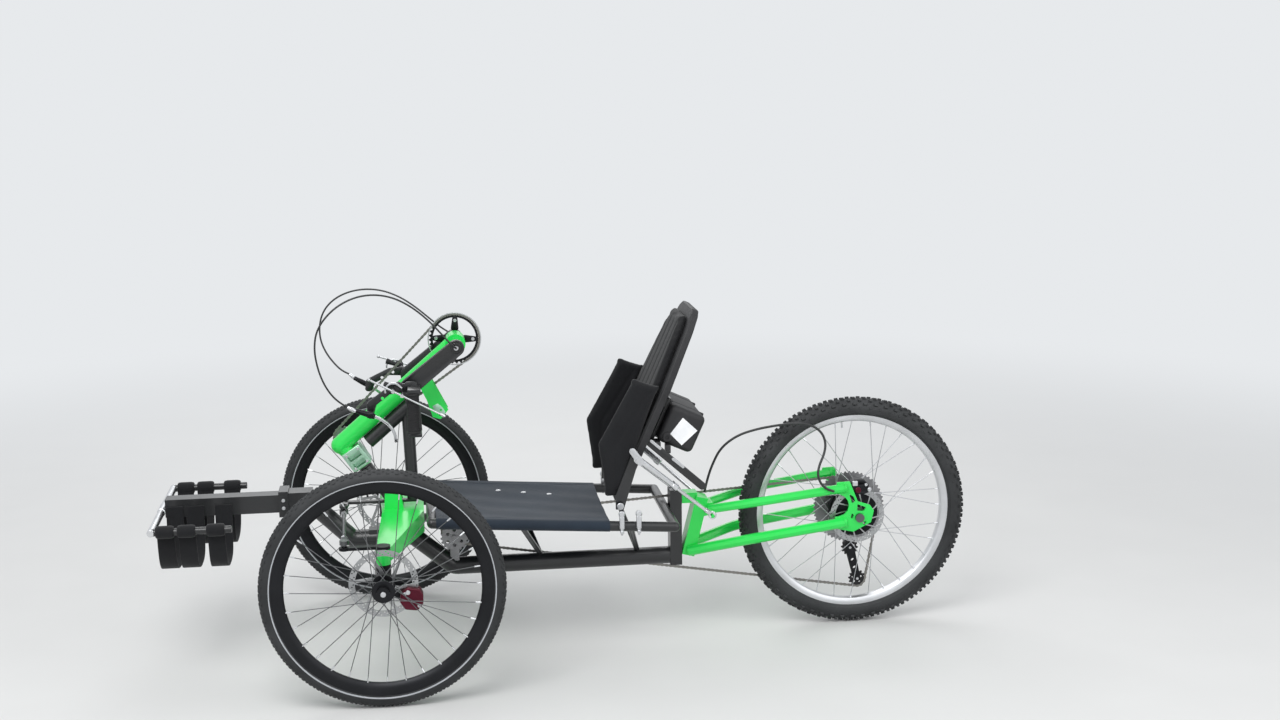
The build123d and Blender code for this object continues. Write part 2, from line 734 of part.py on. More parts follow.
# Mast: a straight tube from its elbow to the crank shell, with the gusset that the post carries
def mast():
    shape = rod(elbow, crank_centre, mast_diameter) + Pos(*elbow) * Sphere(mast_diameter / 2)
    leg_end = along_head(clamp_middle) + head_across * 4
    shape += rod(elbow, leg_end, 44)
    half = crank_shell_width / 2
    shape += rod((crank_x, -half, crank_z), (crank_x, half, crank_z), crank_shell_diameter)
    gusset = [along_mast(*place) for place in gusset_places]
    eye = along_mast(*gusset_eye)
    for middle in (-20, 20):
        plate = side_plate([(point.X, point.Z) for point in gusset], middle, 5)
        shape += plate - rod((eye.X, middle - 3, eye.Z), (eye.X, middle + 3, eye.Z), gusset_eye_diameter)
    shape -= rod((crank_x, -half, crank_z), (crank_x, half, crank_z), crank_axle_diameter + 2 * running_clearance)
    plane = Plane(origin=along_head(clamp_middle), x_dir=head_across, z_dir=head_axis)
    return shape - plane * Box(clamp_width, clamp_width, clamp_length)


def post():
    top = along_mast(205, mast_diameter / 2 + 21)
    shape = rod((post_x, 0, pitman_top_z), (top.X - 4, 0, top.Z), post_diameter)
    shape += rod(along_mast(64, mast_diameter / 2 + 21), along_mast(236, mast_diameter / 2 + 21), 40)
    shape -= block((-200, 0), (-40, 40), (pitman_top_z - 40, pitman_top_z))
    return shape - rod(elbow, crank_centre, mast_diameter)


save(mast(), "mast")
save(post(), "mast_post")

idler_place = along_mast(14)
idler = rod((idler_place.X, -30, idler_place.Z), (idler_place.X, -70, idler_place.Z), 12)
idler += rod((idler_place.X, mast_chain_y - 2, idler_place.Z), (idler_place.X, mast_chain_y + 2, idler_place.Z),
             2 * idler_radius)
idler -= rod(elbow, crank_centre, mast_diameter)
save(idler, "mast_idler")
mast_cogs = [(crank_x, crank_z, chainring_radius), (idler_place.X, idler_place.Z, idler_radius)]
save(chain_loop(mast_cogs, mast_chain_y), "mast_chain")

# Crankset
crank_turn = radians(crank_angle)
pin_x = crank_x + crank_length * cos(crank_turn)
pin_z = crank_z + crank_length * sin(crank_turn)
ring_face = rod((crank_x, mast_chain_y - 2, crank_z), (crank_x, mast_chain_y + 2, crank_z), 2 * chainring_radius)
ring_face -= rod((crank_x, mast_chain_y - 3, crank_z), (crank_x, mast_chain_y + 3, crank_z),
                 2 * chainring_radius - 22)
ring_face += rod((crank_x, mast_chain_y - 2, crank_z), (crank_x, mast_chain_y + 2, crank_z), 44)
for number in range(4):
    tip = Vector(chainring_radius - 6, 0, 0).rotate(Axis.Y, number * 90 + 20)
    end = (crank_x + tip.X, mast_chain_y, crank_z + tip.Z)
    ring_face += bar((crank_x, mast_chain_y, crank_z), end, 4, 24)
ring_face -= rod((crank_x, -200, crank_z), (crank_x, 200, crank_z), crank_axle_diameter)
save(ring_face, "chainring")
axle_reach = crank_arm_y - crank_arm_thickness / 2
crank_axle = rod((crank_x, -axle_reach, crank_z), (crank_x, axle_reach, crank_z), crank_axle_diameter)


def crank_arm(side):
    y = side * crank_arm_y
    half = crank_arm_thickness / 2
    shape = bar((crank_x, y, crank_z), (pin_x, y, pin_z), crank_arm_thickness, 26)
    for x, z, size in ((crank_x, crank_z, 38), (pin_x, pin_z, 30)):
        shape += rod((x, y - half, z), (x, y + half, z), size)
    shape += rod((pin_x, y, pin_z), (pin_x, side * pin_end_y, pin_z), 14)
    return shape


def handle(side):
    """Hand grip between two end blocks on a side plate, hung on the crank pin."""
    y = side * (pin_end_y + handle_thickness / 2)
    plate = [(-20, 16), (14, 16), (20, -10), (2, -60), (2, -124), (-30, -124), (-26, -60)]
    arm = [(-10, 16), (60, 4), (116, -36), (116, -68), (98, -68), (92, -42), (54, -14), (0, -8)]
    shape = side_plate(plate, y, handle_thickness) + side_plate(arm, y, handle_thickness)
    inner = side * pin_end_y
    for low, high in ((-4, 8), (-124, -114)):
        shape += block((-30, 6), (inner, side * (grip_y + 14)), (low, high))
    shape += rod((-8, side * grip_y, -116), (-8, side * grip_y, 2), 12)
    shape += rod((108, side * (pin_end_y + 10), 7), (-101, side * (pin_end_y + 10), -93), 5)
    return shape


def grip(side):
    start, end = (-8, side * grip_y, -113.7), (-8, side * grip_y, -4.3)
    return rod(start, end, grip_diameter) - rod(start, end, 12)


def brake_lever(side):
    y = side * (grip_y - 4)
    inner = side * (pin_end_y + handle_thickness)
    shape = block((98, 116), (inner, side * (grip_y + 2)), (-68, -54))
    shape += bar((100, y, -64), (154, y, -44), 12, 14)
    points = [(108, y, -62), (74, y, -77), (52, y, -98), (42, y, -118), (41, y, -134)]
    for start, end in zip(points, points[1:]):
        shape += bar(start, end, 10, 7)
    for point in points[1:]:
        shape += rod((point[0], y - 5, point[2]), (point[0], y + 5, point[2]), 7)
    shape += rod((148, side * grip_y, -47), (167, side * grip_y, -36), 9)
    return shape


for name, side in sides:
    turn = 0 if side > 0 else right_handle_turn
    place = Pos(pin_x, 0, pin_z) * Rot(Y=-turn)
    save(crank_arm(side) + crank_axle if side > 0 else crank_arm(side), f"crank_arm_{name}")
    save(place * handle(side), f"handle_{name}")
    save(place * grip(side), f"grip_{name}")
    save(place * brake_lever(side), f"brake_lever_{name}")

left_loop = [
    (83, 164, 736.3), (104, 166, 750), (126, 172, 775), (144, 182, 810), (157, 190, 854), (163, 196, 904),
    (154, 198, 956), (116, 196, 1004), (66, 190, 1034), (12, 180, 1044), (-44, 166, 1034), (-96, 150, 1004),
    (-142, 138, 962), (-176, 130, 922), (-200, 124, 892), (-213, 113, 879), (-215, 99.3, 876),
]
save(cable_tube(left_loop, cable_diameter, 12), "brake_hose_left")
right_loop = [
    (86.9, -164, 765.7), (106, -168, 774), (128, -177, 795), (150, -187, 824), (166, -194, 862),
    (167, -198, 908), (152, -199, 950), (120, -197, 982), (76, -191, 1002), (28, -182, 1009),
    (-20, -170, 1004), (-66, -157, 986), (-106, -145, 960), (-142, -134, 930), (-176, -126, 901),
    (-203, -118, 884), (-214, -110, 878), (-215, -99.3, 876),
]
save(cable_tube(right_loop, cable_diameter, 12), "brake_hose_right")


# Tie rods: a ball socket on the pitman plate, and an eye that stands over the steering arm
def tie_rod(side):
    inner = (pitman_reach, side * pitman_ball_y, tie_rod_z)
    outer = (steering_arm_length, side * kingpin_y, tie_rod_z)
    shape = rod(inner, outer, tie_rod_diameter)
    half = rod_eye_height / 2
    for x, y, z in (inner, outer):
        shape += rod((x, y, z - half), (x, y, z + half), rod_eye_diameter)
    shape -= Plane(origin=inner, z_dir=head_axis) * Sphere(ball_diameter / 2 + running_clearance)
    shape += rod((outer[0], outer[1], steering_arm_z + 1), outer, 8)
    return shape


for name, side in sides:
    save(tie_rod(side), f"tie_rod_{name}")


# Backrest: a bucket of a back panel and two wings, hung in ears on the seat rails
def back_slab(outline, low, high):
    """A slab parallel to the back panel, from (across, up) points, between two forward offsets."""
    middle = back_foot + back_forward * ((low + high) / 2)
    plane = Plane(origin=middle, x_dir=(0, 1, 0), z_dir=back_forward)
    return extrude(plane * Polygon(*outline, align=None), amount=(high - low) / 2, both=True)


def back_shell():
    half = backrest_half_width
    outline = [(-half, 0), (half, 0), (half, 330), (130, 500), (104, backrest_length - 16),
               (80, backrest_length), (-80, backrest_length), (-104, backrest_length - 16), (-130, 500), (-half, 330)]
    shape = back_slab(outline, 0, backrest_thickness)
    wing = [(back_foot.X + x, back_foot.Z + z) for x, z in ((4, 2), (61, 2), (83, 160), (-25, 352), (-113, 323))]
    for side in (1, -1):
        shape += side_plate(wing, side * (half - wing_thickness / 2), wing_thickness)
    return shape


save(back_shell(), "backrest_shell")
pad_half = backrest_half_width - wing_thickness - 0.3
pad = [(-pad_half, 12), (pad_half, 12), (pad_half, 330), (112, 500), (90, 540), (-90, 540), (-112, 500),
       (-pad_half, 330)]
save(back_slab(pad, backrest_thickness + 0.3, backrest_thickness + 18), "backrest_pad")

ears = None
ear_shape = ((11, -12), (-11, -12), (-49, 108), (-65, 128), (-57, 148), (-37, 148), (11, 28))
ear_outline = [(recline_x + x, recline_z + z) for x, z in ear_shape]
for name, side in sides:
    y = side * (backrest_half_width + ear_plate_thickness / 2)
    ear = side_plate(ear_outline, y, ear_plate_thickness)
    ear += rod((recline_x, y, recline_z), (recline_x, side * 192, recline_z), pivot_pin_diameter)
    ear += rod((strut_top[0], y, strut_top[2]), (strut_top[0], side * (strut_top[1] + 8), strut_top[2]),
               pivot_pin_diameter)
    ears = ear if ears is None else ears + ear
save(ears, "backrest_ears")

brackets = []
bracket_shape = ((17, -44), (-67, -48), (-55, -8), (-21, 14), (11, 18), (21, -2))
bracket_outline = [(recline_x + x, recline_z + z) for x, z in bracket_shape]
for name, side in sides:
    bracket = side_plate(bracket_outline, side * 187, 6)
    rail_y = side * seat_half_width
    pin_hole = pivot_pin_diameter + 2 * running_clearance
    bracket -= rod((recline_x, 0, recline_z), (recline_x, rail_y, recline_z), pin_hole)
    for x in (recline_x, recline_x - rail_clamp_spacing):
        bracket += rod((x - 9, rail_y, seat_z(x - 9)), (x + 9, rail_y, seat_z(x + 9)), 42)
    bracket -= rod((seat_front_x, rail_y, seat_front_z), (seat_rear_x, rail_y, seat_rear_z), seat_rail_diameter)
    brackets.append(bracket)
save(Compound(children=brackets), "recline_brackets")

battery_outline = [(-battery_half_width, battery_low), (battery_half_width, battery_low),
                   (battery_half_width, battery_high), (-battery_half_width, battery_high)]
save(back_slab(battery_outline, -battery_rear, -battery_front), "battery")
tray_outline = [(-96, battery_low - 12), (96, battery_low - 12), (96, battery_high + 8), (-96, battery_high + 8)]
tray = back_slab(tray_outline, -battery_front, 8 - battery_front)
for across in (-84, 84):
    for up in (battery_low, battery_high - 12):
        spacer = [(across - 10, up - 8), (across + 10, up - 8), (across + 10, up + 12), (across - 10, up + 12)]
        tray += back_slab(spacer, 8 - battery_front, 0)
save(tray, "battery_tray")


# Struts: a tube pinned to the backrest's ear and a rod that slides in it down to the rear frame
def strut_points(side):
    top = Vector(strut_top[0], side * strut_top[1], strut_top[2])
    foot = Vector(strut_foot[0], side * strut_foot[1], strut_foot[2])
    return top, foot, (foot - top).normalized()


def cross_rod(centre, half_width, diameter):
    start, end = (centre.X, centre.Y - half_width, centre.Z), (centre.X, centre.Y + half_width, centre.Z)
    return rod(start, end, diameter)


for name, side in sides:
    top, foot, way = strut_points(side)
    tube = rod(top + way * 9, top + way * strut_tube_length, strut_tube_diameter) + cross_rod(top, 6, 24)
    tube -= rod(top + way * 20, top + way * 400, strut_rod_diameter + 2 * running_clearance)
    save(tube - cross_rod(top, 20, pivot_pin_diameter + 2 * running_clearance), f"strut_tube_{name}")
    slider = rod(top + way * strut_rod_start, foot - way * 8, strut_rod_diameter) + cross_rod(foot, 5, 22)
    save(slider - cross_rod(foot, 20, strut_pin_diameter + 6), f"strut_rod_{name}")
print("origin shift", origin_shift)
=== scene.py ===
from math import acos, atan2, cos, hypot, pi, radians, sin, tau
import bpy
from mathutils import Matrix, Vector


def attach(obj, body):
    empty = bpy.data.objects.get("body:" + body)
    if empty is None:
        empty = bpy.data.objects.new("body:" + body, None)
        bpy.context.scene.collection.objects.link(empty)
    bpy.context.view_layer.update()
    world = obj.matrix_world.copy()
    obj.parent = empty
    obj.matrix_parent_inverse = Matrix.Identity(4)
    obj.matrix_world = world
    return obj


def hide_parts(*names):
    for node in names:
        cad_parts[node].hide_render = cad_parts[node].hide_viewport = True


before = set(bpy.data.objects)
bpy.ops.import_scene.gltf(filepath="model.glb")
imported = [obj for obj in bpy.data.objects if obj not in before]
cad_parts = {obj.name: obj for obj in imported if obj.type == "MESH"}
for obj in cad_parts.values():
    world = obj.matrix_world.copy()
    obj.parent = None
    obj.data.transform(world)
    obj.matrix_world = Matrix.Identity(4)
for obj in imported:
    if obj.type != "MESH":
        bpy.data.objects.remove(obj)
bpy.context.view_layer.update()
scene = bpy.context.scene

# Places below are millimetres from the front axle line: X forward, Y to the rider's left, Z up
frontAxleX = 0.5385


def at(x, y, z):
    return Vector((x / 1000 + frontAxleX, y / 1000, z / 1000))


print("shader helpers")


def feed(tree, socket, value):
    if isinstance(value, Wire):
        tree.links.new(value.socket, socket)
    else:
        socket.default_value = value


class Wire:
    def __init__(self, tree, socket):
        self.tree = tree
        self.socket = socket

    def maths(self, operation, first, second=0.0):
        node = self.tree.nodes.new("ShaderNodeMath")
        node.operation = operation
        feed(self.tree, node.inputs[0], first)
        feed(self.tree, node.inputs[1], second)
        return Wire(self.tree, node.outputs[0])

    def sine(self):
        return self.maths("SINE", self)

    def __add__(self, other):
        return self.maths("ADD", self, other)

    def __radd__(self, other):
        return self.maths("ADD", other, self)

    def __sub__(self, other):
        return self.maths("SUBTRACT", self, other)

    def __rsub__(self, other):
        return self.maths("SUBTRACT", other, self)

    def __mul__(self, other):
        return self.maths("MULTIPLY", self, other)

    def __rmul__(self, other):
        return self.maths("MULTIPLY", other, self)

    def __pow__(self, other):
        return self.maths("POWER", self, other)

    def __gt__(self, other):
        return self.maths("GREATER_THAN", self, other)

    def __lt__(self, other):
        return self.maths("LESS_THAN", self, other)


class Finish:
    def __init__(self, name, **values):
        self.material = bpy.data.materials.new(name)
        self.material.use_nodes = True
        self.tree = self.material.node_tree
        self.shader = self.tree.nodes["Principled BSDF"]
        self.place = self.node("TexCoord", out="Object")
        for key, value in values.items():
            self.put(key.replace("_", " "), value)

    def node(self, kind, settings=None, sockets=None, out=0):
        node = self.tree.nodes.new("ShaderNode" + kind)
        for key, value in (settings or {}).items():
            if key == "stops":
                for element, (spot, tone) in zip(node.color_ramp.elements, value):
                    element.position = spot
                    element.color = (tone, tone, tone, 1)
            else:
                setattr(node, key, value)
        for key, value in (sockets or {}).items():
            feed(self.tree, node.inputs[key], value)
        return Wire(self.tree, node.outputs[out])

    def put(self, socket, value):
        feed(self.tree, self.shader.inputs[socket], value)

    def noise(self, scale, detail, stretch=None):
        place = self.place
        if stretch:
            place = self.node("Mapping", sockets={"Vector": place, "Scale": stretch})
        return self.node("TexNoise", sockets={"Vector": place, "Scale": scale, "Detail": detail}, out="Fac")

    def ramp(self, value, low, high):
        # black below low, white above high
        return self.node("ValToRGB", {"stops": ((low, 0), (high, 1))}, {"Fac": value})

    def mix(self, factor, first, second):
        sockets = {0: factor, 6: first, 7: second}
        return self.node("Mix", {"data_type": "RGBA"}, sockets, out=2)

    def bump(self, height, distance, strength, below=None):
        sockets = {"Height": height, "Distance": distance, "Strength": strength}
        if below:
            sockets["Normal"] = below
        normal = self.node("Bump", sockets=sockets, out="Normal")
        self.put("Normal", normal)
        return normal

    def axes(self, vector):
        split = self.node("SeparateXYZ", sockets={"Vector": vector})
        return [Wire(self.tree, output) for output in split.socket.node.outputs]


def rgb(red, green, blue):
    return (red, green, blue, 1)


dustTone = rgb(0.26, 0.24, 0.21)
greyDust = rgb(0.11, 0.112, 0.115)


def dusty(finish, colour, amount, rough, tone=dustTone):
    # dust in patches and grit, most of it on what faces up
    patches = finish.ramp(finish.noise(9, 5), 0.45, 0.75)
    grit = finish.ramp(finish.noise(240, 2), 0.35, 0.7)
    lying = finish.ramp(finish.axes(finish.node("NewGeometry", out="Normal"))[2], 0.0, 0.9)
    dust = (patches * 0.6 + grit * 0.25 + 0.15) * (lying * 0.75 + 0.25) * amount
    finish.put("Base Color", finish.mix(dust, colour, tone))
    finish.put("Roughness", dust * 0.45 + rough)


def paint(name, tone, shade, dust, rough):
    finish = Finish(name, Coat_Weight=0.35, Coat_Roughness=0.12, Specular_IOR_Level=0.5)
    colour = finish.mix(finish.ramp(finish.noise(5, 3), 0.3, 0.75), tone, shade)
    dusty(finish, colour, dust, finish.noise(60, 3) * 0.1 + rough)
    peel = finish.bump(finish.noise(650, 2), 0.00012, 0.25)
    scratch = finish.ramp(finish.noise(40, 6, (1, 30, 1)), 0.70, 0.74)
    finish.bump(scratch, 0.0001, 0.3, peel)
    return finish.material


def metal(name, tone, rough, dust=0.15, fine=220):
    finish = Finish(name, Metallic=1.0)
    streaks = finish.noise(fine, 3, (1, 1, 40))
    spots = finish.ramp(finish.noise(14, 5), 0.3, 0.8)
    dark = rgb(*[0.6 * value for value in tone[:3]])
    colour = finish.mix(spots * 0.5 + streaks * 0.2, tone, dark)
    dusty(finish, colour, dust, streaks * 0.16 + rough)
    finish.bump(streaks, 0.00008, 0.35)
    return finish.material


def plastic(name, tone, rough=0.5, grain=900, dust=0.04, depth=0.00015):
    finish = Finish(name, Specular_IOR_Level=0.45)
    lighter = rgb(*[min(1, 1.7 * value + 0.004) for value in tone[:3]])
    colour = finish.mix(finish.ramp(finish.noise(20, 5), 0.3, 0.8), tone, lighter)
    dusty(finish, colour, dust, finish.noise(90, 2) * 0.12 + rough)
    cells = finish.node("TexVoronoi", sockets={"Vector": finish.place, "Scale": grain}, out="Distance")
    finish.bump(cells, depth, 0.5)
    return finish.material


def cloth(name, tone, shade, dust, across):
    # a plain weave whose threads run along the two axes numbered in across
    thread = 0.0009
    finish = Finish(name, Sheen_Weight=0.12, Sheen_Roughness=0.5, Specular_IOR_Level=0.22)
    axes = finish.axes(finish.place)
    first, second = [(axes[number] * (pi / thread)).sine() for number in across]
    weave = first * second * 0.5 + 0.5
    fuzz = finish.noise(1500, 2)
    worn = finish.ramp(finish.noise(7, 5), 0.35, 0.75)
    colour = finish.mix(worn * 0.7 + weave * 0.06 + fuzz * 0.2, shade, tone)
    dusty(finish, colour, dust, fuzz * 0.15 + 0.72)
    creases = finish.noise(26, 4)
    finish.bump(weave + fuzz * 0.4, 0.00025, 0.6, finish.bump(creases, 0.003, 0.35))
    return finish.material


def tyreRubber(name, dust, centre, stripe=None):
    # rubber with road dust, and a thin reflecting stripe between two radii where one is given
    finish = Finish(name, Specular_IOR_Level=0.4)
    x, y, z = finish.axes(finish.place)
    reach = ((x - centre[0]) ** 2 + (z - centre[2]) ** 2) ** 0.5
    worn = finish.ramp(finish.noise(12, 5), 0.3, 0.8)
    colour = finish.mix(worn, rgb(0.010, 0.011, 0.012), rgb(0.030, 0.032, 0.034))
    rough = finish.noise(70, 3) * 0.2 + 0.5
    if stripe:
        band = (reach > stripe[0]) * (reach < stripe[1])
        colour = finish.mix(band * (finish.noise(30, 4) * 0.3 + 0.7), colour, rgb(0.52, 0.54, 0.57))
        rough = rough - band * 0.25
    dusty(finish, colour, dust, rough, greyDust)
    rib = (y * 2400).sine() * 0.15 + (reach * 5200).sine() * 0.1
    finish.bump(rib + finish.noise(500, 3), 0.0003, 0.5)
    return finish.material


print("finishes")
frontCentre, rearCentre = (0, 465, 318), (-1357, 0, 338)
greenPaint = paint("neonGreenPaint", rgb(0.014, 0.76, 0.095), rgb(0.008, 0.62, 0.062), 0.06, 0.26)
blackPaint = paint("satinBlackPaint", rgb(0.0065, 0.007, 0.008), rgb(0.012, 0.013, 0.015), 0.05, 0.34)
blackAlloy = metal("blackAnodising", rgb(0.030, 0.031, 0.034), 0.32, 0.04)
darkSteel = metal("darkSteel", rgb(0.17, 0.175, 0.18), 0.30, 0.06)
bareAlloy = metal("bareAlloy", rgb(0.72, 0.73, 0.75), 0.26)
polishedAlloy = metal("polishedAlloy", rgb(0.82, 0.83, 0.85), 0.16, 0.08)
rimAlloy = metal("silverRim", rgb(0.74, 0.75, 0.77), 0.30, 0.12)
brushedSteel = metal("brushedSteel", rgb(0.55, 0.56, 0.58), 0.28)
rotorSteel = metal("rotorSteel", rgb(0.48, 0.49, 0.50), 0.30, 0.10, 400)
chainSteel = metal("oiledChain", rgb(0.30, 0.29, 0.27), 0.36, 0.14)
cogSteel = metal("cogSteel", rgb(0.32, 0.32, 0.33), 0.34, 0.2)
redAlloy = metal("maroonAnodising", rgb(0.13, 0.018, 0.036), 0.40, 0.25)
mintAlloy = metal("mintAlloy", rgb(0.50, 0.78, 0.60), 0.34)
blackPlastic = plastic("blackPlastic", rgb(0.009, 0.009, 0.0105))
greyThread = plastic("greyThread", rgb(0.10, 0.11, 0.12), 0.7, 1200, 0.02, 0.0001)
whiteSticker = plastic("whiteSticker", rgb(0.78, 0.80, 0.82), 0.4, 900, 0.05, 0.00005)
softRubber = plastic("gripRubber", rgb(0.009, 0.009, 0.010), 0.68, 700, 0.05, 0.0003)
hoseRubber = plastic("hoseRubber", rgb(0.016, 0.017, 0.018), 0.34, 1400, 0.05)
rearRubber = tyreRubber("knobbyRubber", 0.55, at(*rearCentre))
frontRubber = tyreRubber("treadRubber", 0.45, at(*frontCentre), (0.2878, 0.2910))
navyCloth = cloth("navyNylon", rgb(0.021, 0.033, 0.050), rgb(0.014, 0.022, 0.034), 0.05, (0, 1))
blackCloth = cloth("blackNylon", rgb(0.011, 0.012, 0.014), rgb(0.006, 0.006, 0.0075), 0.04, (0, 2))


# the solids that stay in sight
cadFinishes = {
    greenPaint: ("mast", "front_beam", "rear_yoke"),
    blackPaint: ("main_frame", "head_tube", "seat_frame", "boom", "mast_post", "backrest_ears",
                 "battery_tray"),
    darkSteel: ("tie_rod_left", "tie_rod_right", "rear_axle"),
    blackAlloy: ("knuckle_left", "knuckle_right"),
}
for material, nodes in cadFinishes.items():
    for node in nodes:
        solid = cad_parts[node]
        solid.data.materials.clear()
        solid.data.materials.append(material)

print("camera, floor and lights")
backdrop = rgb(0.80, 0.82, 0.84)
cameraSettings = {
    "place": (-98.8, 4807.1, 1701.6), "focal": 1734.9, "yaw": 0.1318, "pitch": 0.1826, "roll": 0.0123,
}
floorSettings = {"size": 60, "tones": (rgb(0.68, 0.68, 0.67), rgb(0.72, 0.72, 0.71)), "fade": (1.6, 5.5)}
lampSettings = (
    {"name": "keyLamp", "place": (900, 2600, 3600), "size": 2.4, "power": 105},
    {"name": "fillLamp", "place": (-2900, 2200, 2400), "size": 3.5, "power": 40},
    {"name": "rimLamp", "place": (-400, -3200, 3200), "size": 3.0, "power": 55},
)


def addCamera(place, focal, yaw, pitch, roll):
    # focal is in pixels of a picture 1280 wide, the turns in radians
    ahead = Vector((-sin(yaw) * cos(pitch), -cos(yaw) * cos(pitch), -sin(pitch)))
    right = ahead.cross(Vector((0, 0, 1))).normalized()
    down = ahead.cross(right)
    rolledRight = cos(roll) * right + sin(roll) * down
    rolledDown = cos(roll) * down - sin(roll) * right
    bpy.ops.object.camera_add()
    camera = bpy.context.object
    turn = Matrix((rolledRight, -rolledDown, -ahead)).transposed().to_4x4()
    camera.matrix_world = Matrix.Translation(at(*place)) @ turn
    camera.data.sensor_width = 36
    camera.data.lens = focal / 1280 * 36
    camera.data.clip_end = 200
    scene.camera = camera


def addFloor(size, tones, fade):
    # far from the vehicle the floor melts into the backdrop, for the camera alone
    bpy.ops.object.select_all(action="DESELECT")
    bpy.ops.mesh.primitive_plane_add(size=size, location=(0, 0, -0.0005))
    floor = bpy.context.object
    floor.name = "studioFloor"
    finish = Finish("palePlaster", Roughness=0.9)
    finish.put("Base Color", finish.mix(finish.noise(3, 3), *tones))
    reach = finish.node("VectorMath", {"operation": "LENGTH"}, {0: finish.place}, out="Value")
    seen = finish.node("LightPath", out="Is Camera Ray")
    span = {"Value": reach, "From Min": fade[0], "From Max": fade[1]}
    far = finish.node("MapRange", {"interpolation_type": "SMOOTHSTEP"}, span)
    glow = finish.node("Emission", sockets={"Color": backdrop, "Strength": 1.0})
    surface = Wire(finish.tree, finish.shader.outputs[0])
    blend = finish.node("MixShader", sockets={0: far * seen, 1: surface, 2: glow})
    feed(finish.tree, finish.tree.nodes["Material Output"].inputs["Surface"], blend)
    floor.data.materials.append(finish.material)


def addLamp(name, place, size, power):
    bpy.ops.object.light_add(type="AREA", location=at(*place))
    lamp = bpy.context.object
    lamp.name = name
    lamp.data.size = size
    lamp.data.energy = power
    lamp.rotation_euler = (at(-400, 0, 400) - lamp.location).to_track_quat("-Z", "Y").to_euler()


def addWorld():
    # even light, and the plain backdrop for what the camera sees or a shiny surface mirrors
    world = bpy.data.worlds.new("studio")
    world.use_nodes = True
    scene.world = world
    tree = world.node_tree
    light = tree.nodes["Background"]
    light.inputs["Color"].default_value = rgb(0.80, 0.82, 0.85)
    light.inputs["Strength"].default_value = 0.7
    seen = tree.nodes.new("ShaderNodeBackground")
    seen.inputs["Color"].default_value = backdrop
    ray = tree.nodes.new("ShaderNodeLightPath")
    kinds = ("Camera", "Glossy", "Transmission")
    camera, glossy, through = [Wire(tree, ray.outputs[f"Is {kind} Ray"]) for kind in kinds]
    choice = tree.nodes.new("ShaderNodeMixShader")
    feed(tree, choice.inputs[0], camera + glossy + through > 0.5)
    feed(tree, choice.inputs[1], Wire(tree, light.outputs[0]))
    feed(tree, choice.inputs[2], Wire(tree, seen.outputs[0]))
    feed(tree, tree.nodes["World Output"].inputs["Surface"], Wire(tree, choice.outputs[0]))


scene.view_settings.view_transform = "Standard"
addCamera(**cameraSettings)
addFloor(**floorSettings)
addWorld()
for settings in lampSettings:
    addLamp(**settings)


print("modelling helpers")


def deselect():
    if bpy.context.object and bpy.context.object.mode != "OBJECT":
        bpy.ops.object.mode_set(mode="OBJECT")
    bpy.ops.object.select_all(action="DESELECT")


def pick(piece):
    deselect()
    piece.select_set(True)
    bpy.context.view_layer.objects.active = piece


def modify(piece, kind, **settings):
    pick(piece)
    modifier = piece.modifiers.new(kind.title(), kind)
    for key, value in settings.items():
        setattr(modifier, key, value)
    bpy.ops.object.modifier_apply(modifier=modifier.name)
    return piece


def cutAway(piece, cutter):
    modify(piece, "BOOLEAN", operation="DIFFERENCE", object=cutter, solver="EXACT")
    bpy.data.objects.remove(cutter)
    return piece


def placed(piece, matrix):
    pick(piece)
    piece.matrix_world = matrix @ piece.matrix_world
    bpy.ops.object.transform_apply(location=True, rotation=True, scale=True)
    return piece


def turnAbout(centre, angle):
    return Matrix.Translation(centre) @ Matrix.Rotation(angle, 4, "Y") @ Matrix.Translation(-centre)


def drawLine(name, points):
    # a plane merged to one vertex, which is then extruded from point to point
    deselect()
    bpy.ops.mesh.primitive_plane_add(size=0.001, location=(0, 0, 0))
    piece = bpy.context.object
    piece.name = name
    bpy.ops.object.mode_set(mode="EDIT")
    bpy.ops.mesh.select_mode(type="VERT")
    bpy.ops.mesh.select_all(action="SELECT")
    bpy.ops.mesh.merge(type="CENTER")
    bpy.ops.transform.translate(value=points[0])
    for before, after in zip(points, points[1:]):
        bpy.ops.mesh.extrude_region_move(TRANSFORM_OT_translate={"value": after - before})
    bpy.ops.mesh.select_all(action="SELECT")
    return piece


def closeUp():
    bpy.ops.mesh.select_all(action="SELECT")
    bpy.ops.mesh.normals_make_consistent(inside=False)
    bpy.ops.object.mode_set(mode="OBJECT")


def turned(name, profile, centre, axis=(0, 1, 0), steps=64, closed=False):
    # profile holds (along, radius) in millimetres; closed joins its last point to its first
    axis = Vector(axis).normalized()
    side = axis.orthogonal().normalized()
    line = [centre + axis * (along / 1000) + side * (radius / 1000) for along, radius in profile]
    piece = drawLine(name, line + line[:1] if closed else line)
    bpy.ops.mesh.spin(steps=steps, angle=tau, center=centre, axis=axis)
    bpy.ops.mesh.select_all(action="SELECT")
    bpy.ops.mesh.remove_doubles(threshold=0.00002)
    closeUp()
    return piece


def rodShape(low, high, radius):
    return [(low, 0), (low, radius), (high, radius), (high, 0)]


def ringShape(low, high, inner, outer):
    return [(low, inner), (low, outer), (high, outer), (high, inner)]


def cutPlate(name, outline, depth, bevel, segments=2):
    # a sheet with the outline given, extruded along depth, its sharp edges rounded
    piece = drawLine(name, outline)
    bpy.ops.mesh.edge_face_add()
    bpy.ops.mesh.extrude_region_move(TRANSFORM_OT_translate={"value": depth})
    closeUp()
    if bevel:
        modify(piece, "BEVEL", width=bevel / 1000, segments=segments, limit_method="ANGLE",
               angle_limit=radians(28))
    return piece


def sidePlate(name, outline, middleY, thickness, bevel):
    line = [at(x, middleY - thickness / 2, z) for x, z in outline]
    return cutPlate(name, line, Vector((0, thickness / 1000, 0)), bevel)


